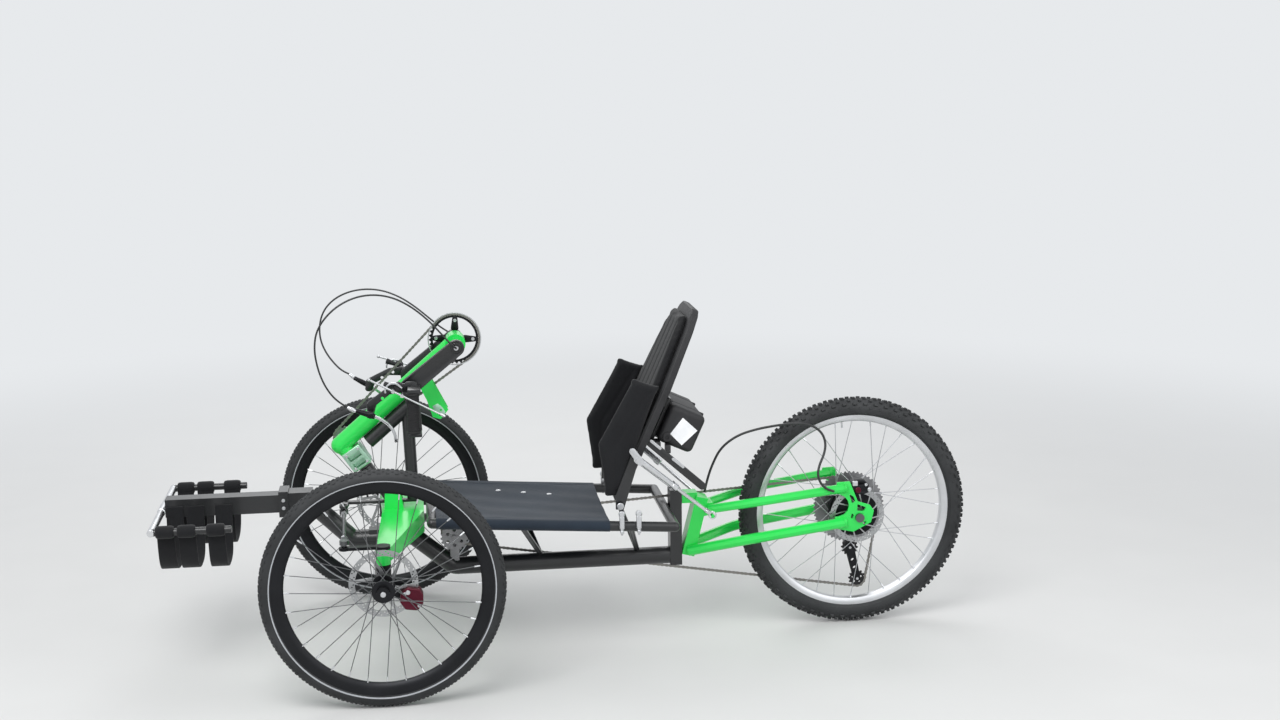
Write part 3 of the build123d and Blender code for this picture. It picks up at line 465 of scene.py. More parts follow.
def ringOf(piece, count, centre):
    # count copies of the piece round a centre, as seen from the side
    deselect()
    bpy.ops.object.empty_add()
    guide = bpy.context.object
    guide.matrix_world = turnAbout(centre, tau / count)
    bpy.context.view_layer.update()
    modify(piece, "ARRAY", count=count, use_relative_offset=False, use_object_offset=True,
           offset_object=guide)
    bpy.data.objects.remove(guide)
    return piece


def twin(piece, name, matrix):
    other = piece.copy()
    other.data = piece.data.copy()
    other.name = name
    scene.collection.objects.link(other)
    other.data.transform(matrix)
    if matrix.determinant() < 0:
        other.data.flip_normals()
    return other


def joined(pieces, name):
    deselect()
    for piece in pieces:
        piece.select_set(True)
    bpy.context.view_layer.objects.active = pieces[0]
    bpy.ops.object.join()
    pieces[0].name = name
    return pieces[0]


def finished(piece, material, body, slot, node=None, smooth=35):
    pick(piece)
    bpy.ops.object.transform_apply(location=True, rotation=True, scale=True)
    piece.data.materials.clear()
    piece.data.materials.append(material)
    bpy.ops.object.shade_smooth_by_angle(angle=radians(smooth))
    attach(piece, body)
    if node:
        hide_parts(node)
    return piece


acrossMiddle = Matrix.Scale(-1, 4, Vector((0, 1, 0)))


def mirrored(piece, material, body, slot, node=None, smooth=35, matrix=acrossMiddle, name=None):
    # finishes a piece of the left side and its twin on the right
    other = twin(piece, name or piece.name.replace("Left", "Right"), matrix)
    finished(piece, material, body, slot, node, smooth)
    otherNode = node.replace("left", "right") if node else None
    finished(other, material, body.replace("left", "right"), slot, otherNode, smooth)
    return piece, other


def doubled(piece):
    return joined([piece, twin(piece, piece.name, acrossMiddle)], piece.name)


def chooseFaces(piece, wanted):
    pick(piece)
    bpy.ops.object.mode_set(mode="EDIT")
    bpy.ops.mesh.select_mode(type="FACE")
    bpy.ops.mesh.select_all(action="DESELECT")
    bpy.ops.object.mode_set(mode="OBJECT")
    for face in piece.data.polygons:
        face.select = wanted(face)
    bpy.ops.object.mode_set(mode="EDIT")


def shapedBlock(name, size, taper):
    # a block of size millimetres on the origin's floor, its top drawn in
    deselect()
    bpy.ops.mesh.primitive_cube_add(size=1, location=(0, 0, size[2] / 2000), scale=Vector(size) / 1000)
    block = bpy.context.object
    block.name = name
    bpy.ops.object.transform_apply(location=True, rotation=True, scale=True)
    chooseFaces(block, lambda face: face.normal.z > 0.5)
    bpy.ops.transform.resize(value=(taper, taper, 1), center_override=(0, 0, size[2] / 1000))
    bpy.ops.object.mode_set(mode="OBJECT")
    return block


def brick(name, low, high, bevel, segments=2):
    # a box between two corners, its edges rounded
    deselect()
    middle = at(*[(a + b) / 2 for a, b in zip(low, high)])
    sizes = [abs(b - a) / 1000 for a, b in zip(low, high)]
    bpy.ops.mesh.primitive_cube_add(size=1, location=middle, scale=sizes)
    block = bpy.context.object
    block.name = name
    bpy.ops.object.transform_apply(location=True, rotation=True, scale=True)
    return modify(block, "BEVEL", width=bevel / 1000, segments=segments)


def drilled(piece, places, radius, depth=30, sides=10):
    # round holes across the vehicle, through the piece at the given places
    cutters = []
    turn = Vector((0, 1, 0)).to_track_quat("Z", "Y").to_euler()
    for place in places:
        deselect()
        bpy.ops.mesh.primitive_cylinder_add(vertices=sides, radius=radius / 1000, depth=depth / 1000,
                                            location=place, rotation=turn)
        cutters.append(bpy.context.object)
    return cutAway(piece, joined(cutters, "cutter"))


def recessed(piece, margin, depth):
    # the large faces on the left are inset and sunk
    way = Vector((0, 1, 0))
    chooseFaces(piece, lambda face: face.normal.dot(way) > 0.95 and face.area > 0.0004)
    bpy.ops.mesh.inset(thickness=margin / 1000)
    bpy.ops.transform.translate(value=-way * depth / 1000)
    bpy.ops.object.mode_set(mode="OBJECT")
    return piece


def bolts(name, places, radius, height):
    # socket-head bolts standing on the given places, their heads to the left
    rim = height - 0.6
    profile = [(-1, 0), (-1, radius), (rim, radius), (height, radius - 0.6), (height, radius * 0.5),
               (height * 0.4, radius * 0.5), (height * 0.4, 0)]
    return joined([turned(name, profile, place, steps=12) for place in places], name)


def pillOutline(first, second, steps=10):
    # the outline round two circles (x, z, radius)
    heading = atan2(second[1] - first[1], second[0] - first[0])
    lean = acos((first[2] - second[2]) / hypot(second[0] - first[0], second[1] - first[1]))
    line = []
    for (x, z, radius), start, end in ((second, -lean, lean), (first, lean, tau - lean)):
        turns = [heading + start + (end - start) * step / steps for step in range(steps + 1)]
        line += [(x + radius * cos(turn), z + radius * sin(turn)) for turn in turns]
    return line


def rounded(points):
    # cuts the corners of an open line twice, and keeps its ends
    for _ in range(2):
        line = [points[0]]
        for a, b in zip(points, points[1:]):
            line.append(tuple(0.75 * p + 0.25 * q for p, q in zip(a, b)))
            line.append(tuple(0.25 * p + 0.75 * q for p, q in zip(a, b)))
        points = line + [points[-1]]
    return points


def ribbonOutline(line, thick):
    # both faces of a ribbon seen edge on
    near, far = [], []
    for number, (x, y) in enumerate(line):
        before, after = line[max(0, number - 1)], line[min(len(line) - 1, number + 1)]
        run = Vector((after[0] - before[0], after[1] - before[1])).normalized() * thick / 2
        near.append((x - run.y, y + run.x))
        far.append((x + run.y, y - run.x))
    return near + far[::-1]


def tubeAlong(name, points, radius, resolution=6):
    # a smooth round cord near the points
    deselect()
    bpy.ops.curve.primitive_nurbs_path_add()
    path = bpy.context.object
    path.name = name
    curve = path.data
    curve.splines.clear()
    spline = curve.splines.new("NURBS")
    spline.points.add(len(points) - 1)
    for spot, place in zip(spline.points, points):
        spot.co = (*place, 1)
    spline.order_u = 3
    spline.use_endpoint_u = True
    spline.resolution_u = resolution
    curve.bevel_depth = radius / 1000
    curve.bevel_resolution = 3
    curve.use_fill_caps = True
    path.location = (0, 0, 0)
    return path


def inflated(piece, voxel, pressure, cap):
    # the shape is remeshed and blown up a little as a filled cover
    modify(piece, "REMESH", mode="VOXEL", voxel_size=voxel)
    before = [vertex.co.copy() for vertex in piece.data.vertices]
    pick(piece)
    sim = piece.modifiers.new("Cloth", "CLOTH")
    sim.settings.use_pressure = True
    sim.settings.uniform_pressure_force = pressure
    sim.settings.effector_weights.gravity = 0
    sim.collision_settings.use_collision = False
    for number in range(1, 21):
        scene.frame_set(number)
    bpy.ops.object.modifier_apply(modifier=sim.name)
    scene.frame_set(1)
    for vertex, old in zip(piece.data.vertices, before):
        move = vertex.co - old
        if move.length > cap:
            vertex.co = old + move.normalized() * cap
    modify(piece, "SMOOTH", factor=0.5, iterations=4)
    return modify(piece, "SUBSURF", levels=1, render_levels=1)


def pressed(piece, lines, depth, width):
    # sewn channels: points near a line sink into the filling
    normals = [vertex.normal.copy() for vertex in piece.data.vertices]
    for vertex, normal in zip(piece.data.vertices, normals):
        nearest = 1.0
        for a, b in lines:
            run = b - a
            share = min(1.0, max(0.0, (vertex.co - a).dot(run) / run.length_squared))
            nearest = min(nearest, (vertex.co - a - run * share).length)
        vertex.co -= normal * depth * 2.718 ** (-((nearest / width) ** 2))
    return piece


def bothWays(half):
    # a profile or outline from one half: the first value of each point changes its sign in the other
    return list(half) + [(-first, second) for first, second in half[::-1]]


def spotsRound(centre, count, reach, start=0.0):
    # places on a circle that faces sideways, the first one at the top where start is 0
    turns = [start + tau * number / count for number in range(count)]
    return [centre + Vector((sin(turn), 0, cos(turn))) * reach / 1000 for turn in turns]


print("tyres")
# each row of lugs has a tilt, a start in steps, a depth sunk and a size, and a twin on the other side
frontTyre = {
    "centre": frontCentre, "middle": 294, "bulge": 22.3, "beads": ((12.5, 283), (14.5, 286.5)), "reach": 104,
    "count": 84,
    "rows": ((9, 0.0, 0.6, (9.5, 5.5, 2.2)), (27, 0.5, 0.6, (6, 7, 2.2)), (45, 0.0, 0.6, (8, 5, 2.6))),
}
rearTyre = {
    "centre": rearCentre, "middle": 304, "bulge": 28.2, "beads": ((15, 283), (17.5, 287)), "reach": 112,
    "count": 64,
    "rows": ((10, 0.0, 0.9, (12, 8, 6.6)), (33, 0.5, 0.9, (9, 9, 6.4)), (57, 0.0, 0.9, (12, 7, 6.0)),
             (80, 0.5, 0.5, (5, 6, 2.0))),
}


def makeTyre(name, settings):
    centre, count = at(*settings["centre"]), settings["count"]
    middle, bulge, reach = settings["middle"], settings["bulge"], settings["reach"]
    tilts = [radians(reach * step / 12) for step in range(-12, 13)]
    arc = [(bulge * sin(tilt), middle + bulge * cos(tilt)) for tilt in tilts]
    left = [(-across, radius) for across, radius in settings["beads"]]
    parts = [turned(name, left + arc + list(settings["beads"])[::-1], centre, steps=128, closed=True)]
    for lean, start, sunk, size in settings["rows"]:
        for tilt, first in ((radians(lean), start), (-radians(lean), 0.5 - start)):
            lug = shapedBlock(name + "Lug", size, 0.78)
            stand = bulge - sunk
            there = Matrix.Translation(Vector((0, stand * sin(tilt), middle + stand * cos(tilt))) / 1000)
            turn = Matrix.Rotation(tau * first / count, 4, "Y")
            placed(lug, Matrix.Translation(centre) @ turn @ there @ Matrix.Rotation(-tilt, 4, "X"))
            parts.append(ringOf(lug, count, centre))
    return joined(parts, name)


mirrored(makeTyre("frontTyreLeft", frontTyre), frontRubber, "front_wheel_left", "tyre", "front_tyre_left")
finished(makeTyre("rearTyre", rearTyre), rearRubber, "rear_wheel", "tyre", "rear_tyre")

print("rims, spokes and hubs")
lacing = {"count": 32, "wire": 1.15, "nipple": 2.3, "cross": 52, "inward": 0.12}
valve = {"turn": 7, "reach": 285.5, "stem": ((-38, 0), (-38, 2.6), (-8, 2.6), (-8, 3.6), (0, 3.6))}
frontWheel = {
    "centre": frontCentre, "body": "front_wheel_left", "flange": 27, "flanges": (-26, 26), "spokeEnd": 254.5,
    "rim": ((-12, 281), (-12.6, 287.5), (-14, 287.5), (-14, 283), (-13, 279), (-12.4, 270), (-7.5, 257),
            (-3, 253.4)),
    "hub": ((-43.8, 12), (-43.8, 21), (-38.5, 22), (-34, 17), (-29.5, 17.5), (-28.6, 28.8), (-27.4, 30),
            (-24.6, 30), (-23.4, 28.8), (-22.5, 19), (-12, 15), (12, 15), (22.5, 19), (23.4, 28.8),
            (24.6, 30), (27.4, 30), (28.6, 28.8), (29.5, 17.5), (37, 16.5), (38, 15.6), (38, 12)),
}
rearWheel = {
    "centre": rearCentre, "body": "rear_wheel", "flange": 63, "flanges": (-20, 44), "spokeEnd": 267.5,
    "rim": ((-14.6, 281), (-15.4, 287.5), (-17, 287.5), (-17, 282), (-16, 273), (-12, 268), (-5, 266.3)),
    "hub": ((-33, 8), (-33, 19), (-22, 20), (-22, 64.5), (-21, 66), (-19, 66), (-18, 64.5), (-16.8, 60),
            (-14, 58.6), (-4, 58.6), (-2, 60.2), (26, 60.2), (28, 58.6), (38, 58.6), (40.8, 60),
            (42, 64.5), (43, 66), (45, 66), (46, 64.5), (46, 52), (49, 40), (52, 25), (64.5, 24), (64.5, 8)),
}


def makeSpokes(name, settings):
    # four spokes make one crossed group, which is then turned round the axle, and so do their nipples
    centre, thin, wide = at(*settings["centre"]), lacing["wire"], lacing["nipple"]
    reach, flangeReach = settings["spokeEnd"], settings["flange"]
    spokes, nipples = [], []
    for number in range(4):
        flange = settings["flanges"][number % 2]
        rimTurn = tau * number / lacing["count"]
        hubTurn = rimTurn + radians(lacing["cross"] if number < 2 else -lacing["cross"])
        start = Vector((flangeReach * sin(hubTurn), flange, flangeReach * cos(hubTurn))) / 1000
        end = Vector((reach * sin(rimTurn), flange * lacing["inward"], reach * cos(rimTurn))) / 1000
        run = (end - start).length * 1000
        nipple = [(run - 15, thin - 0.3), (run - 14.5, wide * 0.8), (run - 9, wide), (run + 2, wide),
                  (run + 2, thin - 0.3)]
        line = (centre + start, end - start)
        spokes.append(turned(name + "Spokes", rodShape(-1, run - 8, thin), *line, steps=8))
        nipples.append(turned(name + "Nipples", nipple, *line, steps=8, closed=True))
    return [ringOf(joined(group, group[0].name), lacing["count"] // 4, centre) for group in (spokes, nipples)]


def makeWheel(name, settings, rimFinish, spokeFinish, finishOff):
    # finishOff is the function that finishes one wheel's pieces, or a mirrored pair's
    centre, turn = at(*settings["centre"]), radians(valve["turn"])
    rim = turned(name + "Rim", bothWays(settings["rim"]), centre, steps=128, closed=True)
    reach = Vector((sin(turn), 0, cos(turn))) * valve["reach"] / 1000
    rim = joined([rim, turned(name + "Valve", valve["stem"], centre + reach, reach, steps=12)], name + "Rim")
    hub = turned(name + "Hub", settings["hub"], centre, steps=72, closed=True)
    spokes, nipples = makeSpokes(name, settings)
    finishes = (rimFinish, blackAlloy, spokeFinish, polishedAlloy)
    for piece, finish in zip((rim, hub, spokes, nipples), finishes):
        finishOff(piece, finish, settings["body"], None, settings["body"])


makeWheel("wheelLeft", frontWheel, blackAlloy, darkSteel, mirrored)
makeWheel("wheelRear", rearWheel, rimAlloy, brushedSteel, finished)

print("brake discs")
frontDisc = {"centre": (0, 420, 318), "outer": 90, "inner": 74, "bore": 10.5, "arms": 6, "lean": 24,
             "widths": (6, 4.2, 4.6)}
rearDisc = {"centre": (-1357, 66, 338), "outer": 80, "inner": 65, "bore": 6.5, "arms": 12, "lean": 26,
            "widths": (2.6, 1.9, 2.2)}
discMiddle = {"radius": 24, "holes": 24, "holeRadius": 2.1, "holeShift": 0.3, "armFoot": 21, "armBend": 40}


def makeDisc(name, settings):
    centre, inner = at(*settings["centre"]), settings["inner"]
    band = turned(name, ringShape(-1, 1, inner, settings["outer"]), centre, steps=96, closed=True)
    spots = []
    for row in range(3):
        start = tau * row * discMiddle["holeShift"] / discMiddle["holes"]
        spots += spotsRound(centre, discMiddle["holes"], inner + 4 + 4 * row, start)
    drilled(band, spots, discMiddle["holeRadius"], 8)
    plate = ringShape(-1, 1, settings["bore"], discMiddle["radius"])
    middle = turned(name + "Middle", plate, centre, steps=48, closed=True)
    lean = radians(settings["lean"])
    reaches = (discMiddle["armFoot"], discMiddle["armBend"], inner + 3)
    left, right = [], []
    for radius, turn, width in zip(reaches, (0, 0.45 * lean, lean), settings["widths"]):
        spot = Vector((sin(turn) * radius, -0.9, cos(turn) * radius))
        side = Vector((cos(turn), 0, -sin(turn))) * width
        left.append(centre + (spot - side) / 1000)
        right.append(centre + (spot + side) / 1000)
    arm = cutPlate(name + "Arm", left + right[::-1], Vector((0, 0.0018, 0)), 0.3, 1)
    return joined([band, middle, ringOf(arm, settings["arms"], centre)], name)


mirrored(makeDisc("brakeDiscLeft", frontDisc), rotorSteel, "front_wheel_left", "steel", "front_rotor_left")
finished(makeDisc("brakeDiscRear", rearDisc), rotorSteel, "rear_wheel", "steel", "rear_rotor")

print("cogs and chains")
chainPitch = 12.7
cassette = {"firstY": -34, "gap": 3.8, "radii": (102, 88, 76, 66, 58, 51, 45, 39, 34, 30, 26), "holed": 50,
            "sleeve": ((-34, 8), (-34, 56), (-50, 34), (-72, 17), (-73, 8))}
chainLoops = {
    "mainChain": {"circles": [(-1385, 115, 24.3), (-195, 320, 34.3), (-1357, 338, 92.3)], "y": -37.8,
                  "body": "frame", "node": "main_chain"},
    "mastChain": {"circles": [(-215, 876, 70.3), (103.4, 604.1, 29.3)], "y": -62,
                  "body": "steering_mast", "node": "mast_chain"},
}


def makeCog(name, place, pitchRadius, bore, holes=None, thickness=2.4):
    # a bored disc whose teeth stand between the links; holes are their count, reach and radius
    root = pitchRadius - 3.2
    grown = (pitchRadius + 1.6) / root
    teeth = round(tau * pitchRadius / chainPitch)
    deselect()
    bpy.ops.mesh.primitive_circle_add(vertices=teeth * 4, radius=root / 1000, fill_type="NGON")
    piece = bpy.context.object
    piece.name = name
    bpy.ops.object.mode_set(mode="EDIT")
    bpy.ops.mesh.select_mode(type="VERT")
    bpy.ops.mesh.select_all(action="DESELECT")
    bpy.ops.object.mode_set(mode="OBJECT")
    for number, vertex in enumerate(piece.data.vertices):
        vertex.select = number % 4 < 2
    bpy.ops.object.mode_set(mode="EDIT")
    bpy.ops.transform.resize(value=(grown, grown, 1), center_override=(0, 0, 0))
    bpy.ops.mesh.select_all(action="SELECT")
    bpy.ops.transform.translate(value=(0, 0, -thickness / 2000))
    bpy.ops.mesh.extrude_region_move(TRANSFORM_OT_translate={"value": (0, 0, thickness / 1000)})
    closeUp()
    placed(piece, Matrix.Translation(place) @ Matrix.Rotation(radians(90), 4, "X"))
    drilled(piece, [place], bore, thickness + 6, sides=32)
    if holes:
        count, reach, radius = holes
        drilled(piece, spotsRound(place, count, reach), radius, thickness + 6, sides=16)
    return piece


def beltPlaces(circles, pitch):
    # (x, z, heading) at every pitch along a belt round circles (x, z, radius) given anticlockwise
    normals = []
    for first, second in zip(circles, circles[1:] + circles[:1]):
        span = hypot(second[0] - first[0], second[1] - first[1])
        heading = atan2(second[1] - first[1], second[0] - first[0])
        normals.append(heading - acos((first[2] - second[2]) / span))
    corners = []
    for number, (x, z, radius) in enumerate(circles):
        low, high = normals[number - 1], normals[number]
        while high < low:
            high += tau
        steps = max(2, int((high - low) * radius / 4))
        turns = [low + (high - low) * step / steps for step in range(steps + 1)]
        corners += [(x + radius * cos(turn), z + radius * sin(turn)) for turn in turns]
    lengths = [hypot(b[0] - a[0], b[1] - a[1]) for a, b in zip(corners, corners[1:] + corners[:1])]
    count = 2 * round(sum(lengths) / pitch / 2)
    step = sum(lengths) / count
    places, walked, number = [], 0.0, 0
    for index in range(count):
        while walked + lengths[number] < index * step:
            walked += lengths[number]
            number += 1
        a, b = corners[number], corners[(number + 1) % len(corners)]
        share = (index * step - walked) / lengths[number]
        spot = (a[0] + (b[0] - a[0]) * share, a[1] + (b[1] - a[1]) * share)
        places.append((*spot, atan2(b[1] - a[1], b[0] - a[0])))
    return places


def makeLink(name, spread):
    # two waisted plates and a roller, one pitch long
    half = chainPitch / 2
    upper = [(-half - 3.6, 0), (-half, 3.7), (0, 2.4), (half, 3.7)]
    shape = upper + [(-x, -z) for x, z in upper]
    parts = []
    for side in (1, -1):
        line = [Vector((x, side * spread - 0.45, z)) / 1000 for x, z in shape]
        parts.append(cutPlate(name, line, Vector((0, 0.0009, 0)), 0))
    parts.append(turned(name, rodShape(-3, 3, 2.6), Vector((half / 1000, 0, 0)), steps=8))
    return joined(parts, name)


def makeChain(name, settings):
    links = (makeLink(name + "Wide", 2.6), makeLink(name + "Narrow", 1.6))
    copies = []
    for number, (x, z, heading) in enumerate(beltPlaces(settings["circles"], chainPitch)):
        there = Matrix.Translation(at(x, settings["y"], z)) @ Matrix.Rotation(-heading, 4, "Y")
        copies.append(twin(links[number % 2], name, there))
    for link in links:
        bpy.data.objects.remove(link)
    return joined(copies, name)


def makeCassette(name, settings):
    x, y, z = rearCentre
    parts = []
    for number, radius in enumerate(settings["radii"]):
        place = at(x, settings["firstY"] - number * settings["gap"], z)
        holes = (6, radius * 0.76, radius * 0.11) if radius > settings["holed"] else None
        parts.append(makeCog(name, place, radius + 3, radius * 0.5, holes, 1.8))
    parts.append(turned(name, settings["sleeve"], at(x, y, z), steps=48, closed=True))
    return joined(parts, name)


for name, settings in chainLoops.items():
    finished(makeChain(name, settings), chainSteel, settings["body"], "chain_steel", settings["node"])
finished(makeCassette("cassetteCogs", cassette), cogSteel, "rear_wheel", "chain_steel", "cassette")

print("seat cloth")
seatCloth = {"railY": 210, "railRadius": 14, "gap": 0.9, "front": -143, "rear": -618, "sag": 7, "thick": 1.5,
             "wrap": 76, "edge": 194, "across": 120, "along": 84}


def railZ(x):
    return 371 + (x + 801) * 0.06428


def ripple(x, y):
    # how far the cloth between the rails stands off an even sag
    along = (x - seatCloth["rear"]) / (seatCloth["front"] - seatCloth["rear"])
    hollow = 2.2 * (1 - (y / seatCloth["edge"]) ** 2) * sin(pi * along)
    return 0.9 * sin(y / 17 + x / 71) + 0.7 * sin(y / 41 - x / 33) - hollow


def makeSeatCloth(name, settings):
    railY, reach = settings["railY"], settings["railRadius"] + settings["gap"]
    side = [radians(turn) for turn in range(-settings["wrap"], 91, 8)]
    half = [(railY + reach * cos(turn), reach * sin(turn)) for turn in side]
    shares = [1 - step / 12 for step in range(1, 13)]
    half += [(railY * share, reach - settings["sag"] * (1 - share ** 2)) for share in shares]
    line = half + [(-y, z) for y, z in half[-2::-1]]
    spans = [hypot(b[0] - a[0], b[1] - a[1]) for a, b in zip(line, line[1:])]
    width, length = sum(spans), settings["front"] - settings["rear"]
    marks = [sum(spans[:number]) / width for number in range(len(line))]
    deselect()
    bpy.ops.mesh.primitive_grid_add(size=1, x_subdivisions=settings["across"],
                                    y_subdivisions=settings["along"])
    piece = bpy.context.object
    piece.name = name
    for vertex in piece.data.vertices:
        across, along = vertex.co.x + 0.5, vertex.co.y + 0.5
        number = max(0, min(len(marks) - 2, sum(mark <= across for mark in marks) - 1))
        share = (across - marks[number]) / (marks[number + 1] - marks[number])
        y, z = [a + (b - a) * share for a, b in zip(line[number], line[number + 1])]
        x = settings["rear"] + length * along
        if abs(y) < settings["edge"]:
            z += ripple(x, y)
        vertex.co = at(x, y, z + railZ(x))
    modify(piece, "SOLIDIFY", thickness=settings["thick"] / 1000, offset=0)
    return piece, width / 1000, length / 1000


sling, slingWidth, slingLength = makeSeatCloth("seatCloth", seatCloth)
finished(sling, navyCloth, "frame", "navy_fabric", "seat_sling", 60)

print("backrest")
backrest = {
    "foot": (-665, 0, 447), "lean": 24.5,
    "shell": ((-168, 4), (168, 4), (168, 330), (127, 498), (102, 542), (78, 556), (-78, 556), (-102, 542),
              (-127, 498), (-168, 330)),
    "pad": ((-142, 16), (142, 16), (142, 330), (106, 492), (82, 534), (-82, 534), (-106, 492), (-142, 330)),
    "padRange": (28, 40), "channels": (-88, -30, 30, 88),
}
sideWing = {"outline": ((-657, 453), (-609, 453), (-588, 605), (-693, 791), (-772, 764)), "y": 161,
            "thick": 15, "seams": (((-735, 745), (-640, 600)), ((-640, 600), (-645, 470)))}
filling = {"voxel": 0.005, "pressure": 4, "cap": 0.007}
backLean = radians(backrest["lean"])
backUp = Vector((-sin(backLean), 0, cos(backLean)))
backForward = Vector((cos(backLean), 0, sin(backLean)))


def onBack(across, up, forward):
    return at(*backrest["foot"]) + (Vector((0, across, 0)) + backUp * up + backForward * forward) / 1000


def makeBackShell(name, settings):
    line = [onBack(across, up, 2) for across, up in settings["shell"]]
    return cutPlate(name, line, backForward * 0.022, 5, 4)


def makeBackPad(name, settings):
    low, high = settings["padRange"]
    line = [onBack(across, up, low) for across, up in settings["pad"]]
    piece = inflated(cutPlate(name, line, backForward * (high - low) / 1000, 4, 2), **filling)
    channels = [(onBack(across, 30, high), onBack(across * 0.8, 500, high))
                for across in settings["channels"]]
    return pressed(piece, channels, 0.005, 0.007)


def makeWing(name, settings):
    piece = inflated(sidePlate(name, settings["outline"], settings["y"], settings["thick"], 3), **filling)
    seams = []
    for y in (settings["y"] + 10, settings["y"] - 10):
        seams += [(at(x, y, z), at(endX, y, endZ)) for (x, z), (endX, endZ) in settings["seams"]]
    return pressed(piece, seams, 0.003, 0.006)


finished(makeBackShell("backShell", backrest), blackPlastic, "backrest", "black_plastic", "backrest_shell")
backPad = makeBackPad("backPad", backrest)
finished(backPad, blackCloth, "backrest", "black_fabric", "backrest_pad", 70)
sideWingLeft = makeWing("sideWingLeft", sideWing)
for wing in mirrored(sideWingLeft, blackCloth, "backrest", "black_fabric", "backrest_shell", 70):
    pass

print("leg support")
legStraps = {
    "places": (572, 516, 440), "width": 46, "thick": 4.4, "railY": 235, "railZ": 432,
    "line": ((27.8, 446), (28.2, 420), (36, 338), (64, 307), (164, 307), (208, 340), (222.4, 420),
             (222.2, 441)),
    "roll": ((-23, 10.3), (-23.5, 13.5), (-21, 16.2), (-14, 17.4)),
}
footRails = {
    "bar": ((-245, 0), (-245, 8), (-243, 10), (-34, 10), (-33, 11.5)), "x": 398, "barX": 608,
    "rail": ((0, 0), (0, 8.6), (1.4, 10), (207, 10), (210, 10), (210, 0)),
}


def makeLegStraps(name, settings):
    parts = []
    outline = ribbonOutline(rounded(settings["line"]), settings["thick"])
    for place in settings["places"]:
        line = [at(place - settings["width"] / 2, y, z) for y, z in outline]
        parts.append(cutPlate(name, line, Vector((settings["width"] / 1000, 0, 0)), 0.9, 2))
        centre = at(place, settings["railY"], settings["railZ"])
        parts.append(turned(name, bothWays(settings["roll"]), centre, (1, 0, 0), 40, closed=True))
    return joined(parts, name)


straps = makeLegStraps("legStrapsLeft", legStraps)
mirrored(straps, blackCloth, "leg_support", "black_fabric", "leg_straps_left", 50)
barPlace = at(footRails["barX"], 0, legStraps["railZ"])
crossBar = turned("footCrossBar", bothWays(footRails["bar"]), barPlace, steps=40)
finished(crossBar, polishedAlloy, "leg_support", "silver", "foot_rails")
railStart = at(footRails["x"], legStraps["railY"], legStraps["railZ"])
footRail = turned("footRailLeft", footRails["rail"], railStart, (1, 0, 0), 40)
mirrored(footRail, blackPaint, "leg_support", "black_metal", "foot_rails")

print("cranks and handles")
crank = {
    "x": -215, "z": 876, "pinX": -84.3, "pinZ": 772.04, "y": 92, "thick": 14, "boss": 23, "tip": 25,
    "rightTurn": 10,
    "cap": ((5, 15), (8.2, 15), (9, 14), (9, 10.5), (8, 10), (8, 0)),
    "collar": ((6, 7.2), (6, 11), (9, 11), (10, 10), (10, 7.2)),
}
handle = {
    "plate": ((-20, 17), (-12, 20), (8, 19), (15, 12), (20, -10), (6, -58), (4, -118), (-2, -125),
              (-26, -125), (-31, -118), (-28, -60)),
    "arm": ((-10, 17), (28, 14), (60, 5), (112, -32), (117, -38), (117, -64), (112, -69), (102, -69),
            (97, -64), (91, -42), (54, -14), (0, -8)),
    "plateHoles": ((-13, -34), (-13, -62), (-13, -90)), "armHoles": ((46, -4), (74, -24)),
    "y": 116, "thick": 8, "blocks": ((-4, 8), (-124, -114)), "gripX": -8, "gripY": 164,
}
grip = {"rings": 16, "ringStep": 6.3, "radius": 17.2, "groove": 15.9, "flange": 19.3}
gearRods = {
    "gearRodLeft": {"line": ((18, 186.4, 811), (-177, 186.4, 705)), "stays": (0.3, 0.42), "outward": 1,
                    "node": "handle_left"},
    "gearRodRight": {"line": ((-2, -186.4, 808), (-138, -186.4, 764)), "stays": (0.45, 0.6), "outward": -1,
                     "node": "handle_right"},
}
shifter = {"drum": ((-13, 0), (-13, 9), (-11, 11), (-3, 11), (-2, 9.5), (3, 9.5), (4, 12), (10, 12),
                    (12, 10), (12, 0)),
           "nose": ((-16, 0), (-16, 5), (12, 8.5), (14, 0)),
           "lever": ((20, 10), (34, 24), (50, 25), (62, 16), (66, 5), (64, -2)), "leverY": 158}
brakeLever = {
    "y": 160, "barrel": ((-7, 0), (-7, 7.5), (0, 8), (30, 7.5), (44, 6.2), (52, 6), (54, 4.6), (54, 0)),
    "blade": ((110, -61), (92, -66), (74, -76), (60, -88), (50, -101), (43, -117), (42, -132), (40, -138)),
    "ferrule": ((-3, 0), (-3, 4.6), (3, 5.4), (11, 5.4), (13, 4.8), (18, 4.6), (21, 3.6), (21.6, 2.7),
                (21.6, 0)),
}
pinPlace = at(crank["pinX"], 0, crank["pinZ"])
toRightHandle = turnAbout(pinPlace, -radians(crank["rightTurn"])) @ acrossMiddle


def fromPin(x, y, z):
    return at(crank["pinX"] + x, y, crank["pinZ"] + z)


def pinLine(points):
    return [(crank["pinX"] + x, crank["pinZ"] + z) for x, z in points]


def pinBrick(name, low, high, bevel):
    (x, z), (endX, endZ) = pinLine([low[::2], high[::2]])
    return brick(name, (x, low[1], z), (endX, high[1], endZ), bevel, 3)


def makeCrankArm(name, settings):
    first = (settings["x"], settings["z"], settings["boss"])
    second = (settings["pinX"], settings["pinZ"], settings["tip"])
    arm = recessed(sidePlate(name, pillOutline(first, second), settings["y"], settings["thick"], 2.5), 5, 1.5)
    pinEnd = fromPin(0, settings["y"], 0)
    parts = [arm, turned(name, settings["cap"], at(settings["x"], settings["y"], settings["z"]), steps=40)]
    parts.append(turned(name, rodShape(-2, 20, 7), pinEnd, steps=24))
    parts.append(turned(name, settings["collar"], pinEnd, steps=32, closed=True))
    return joined(parts, name)


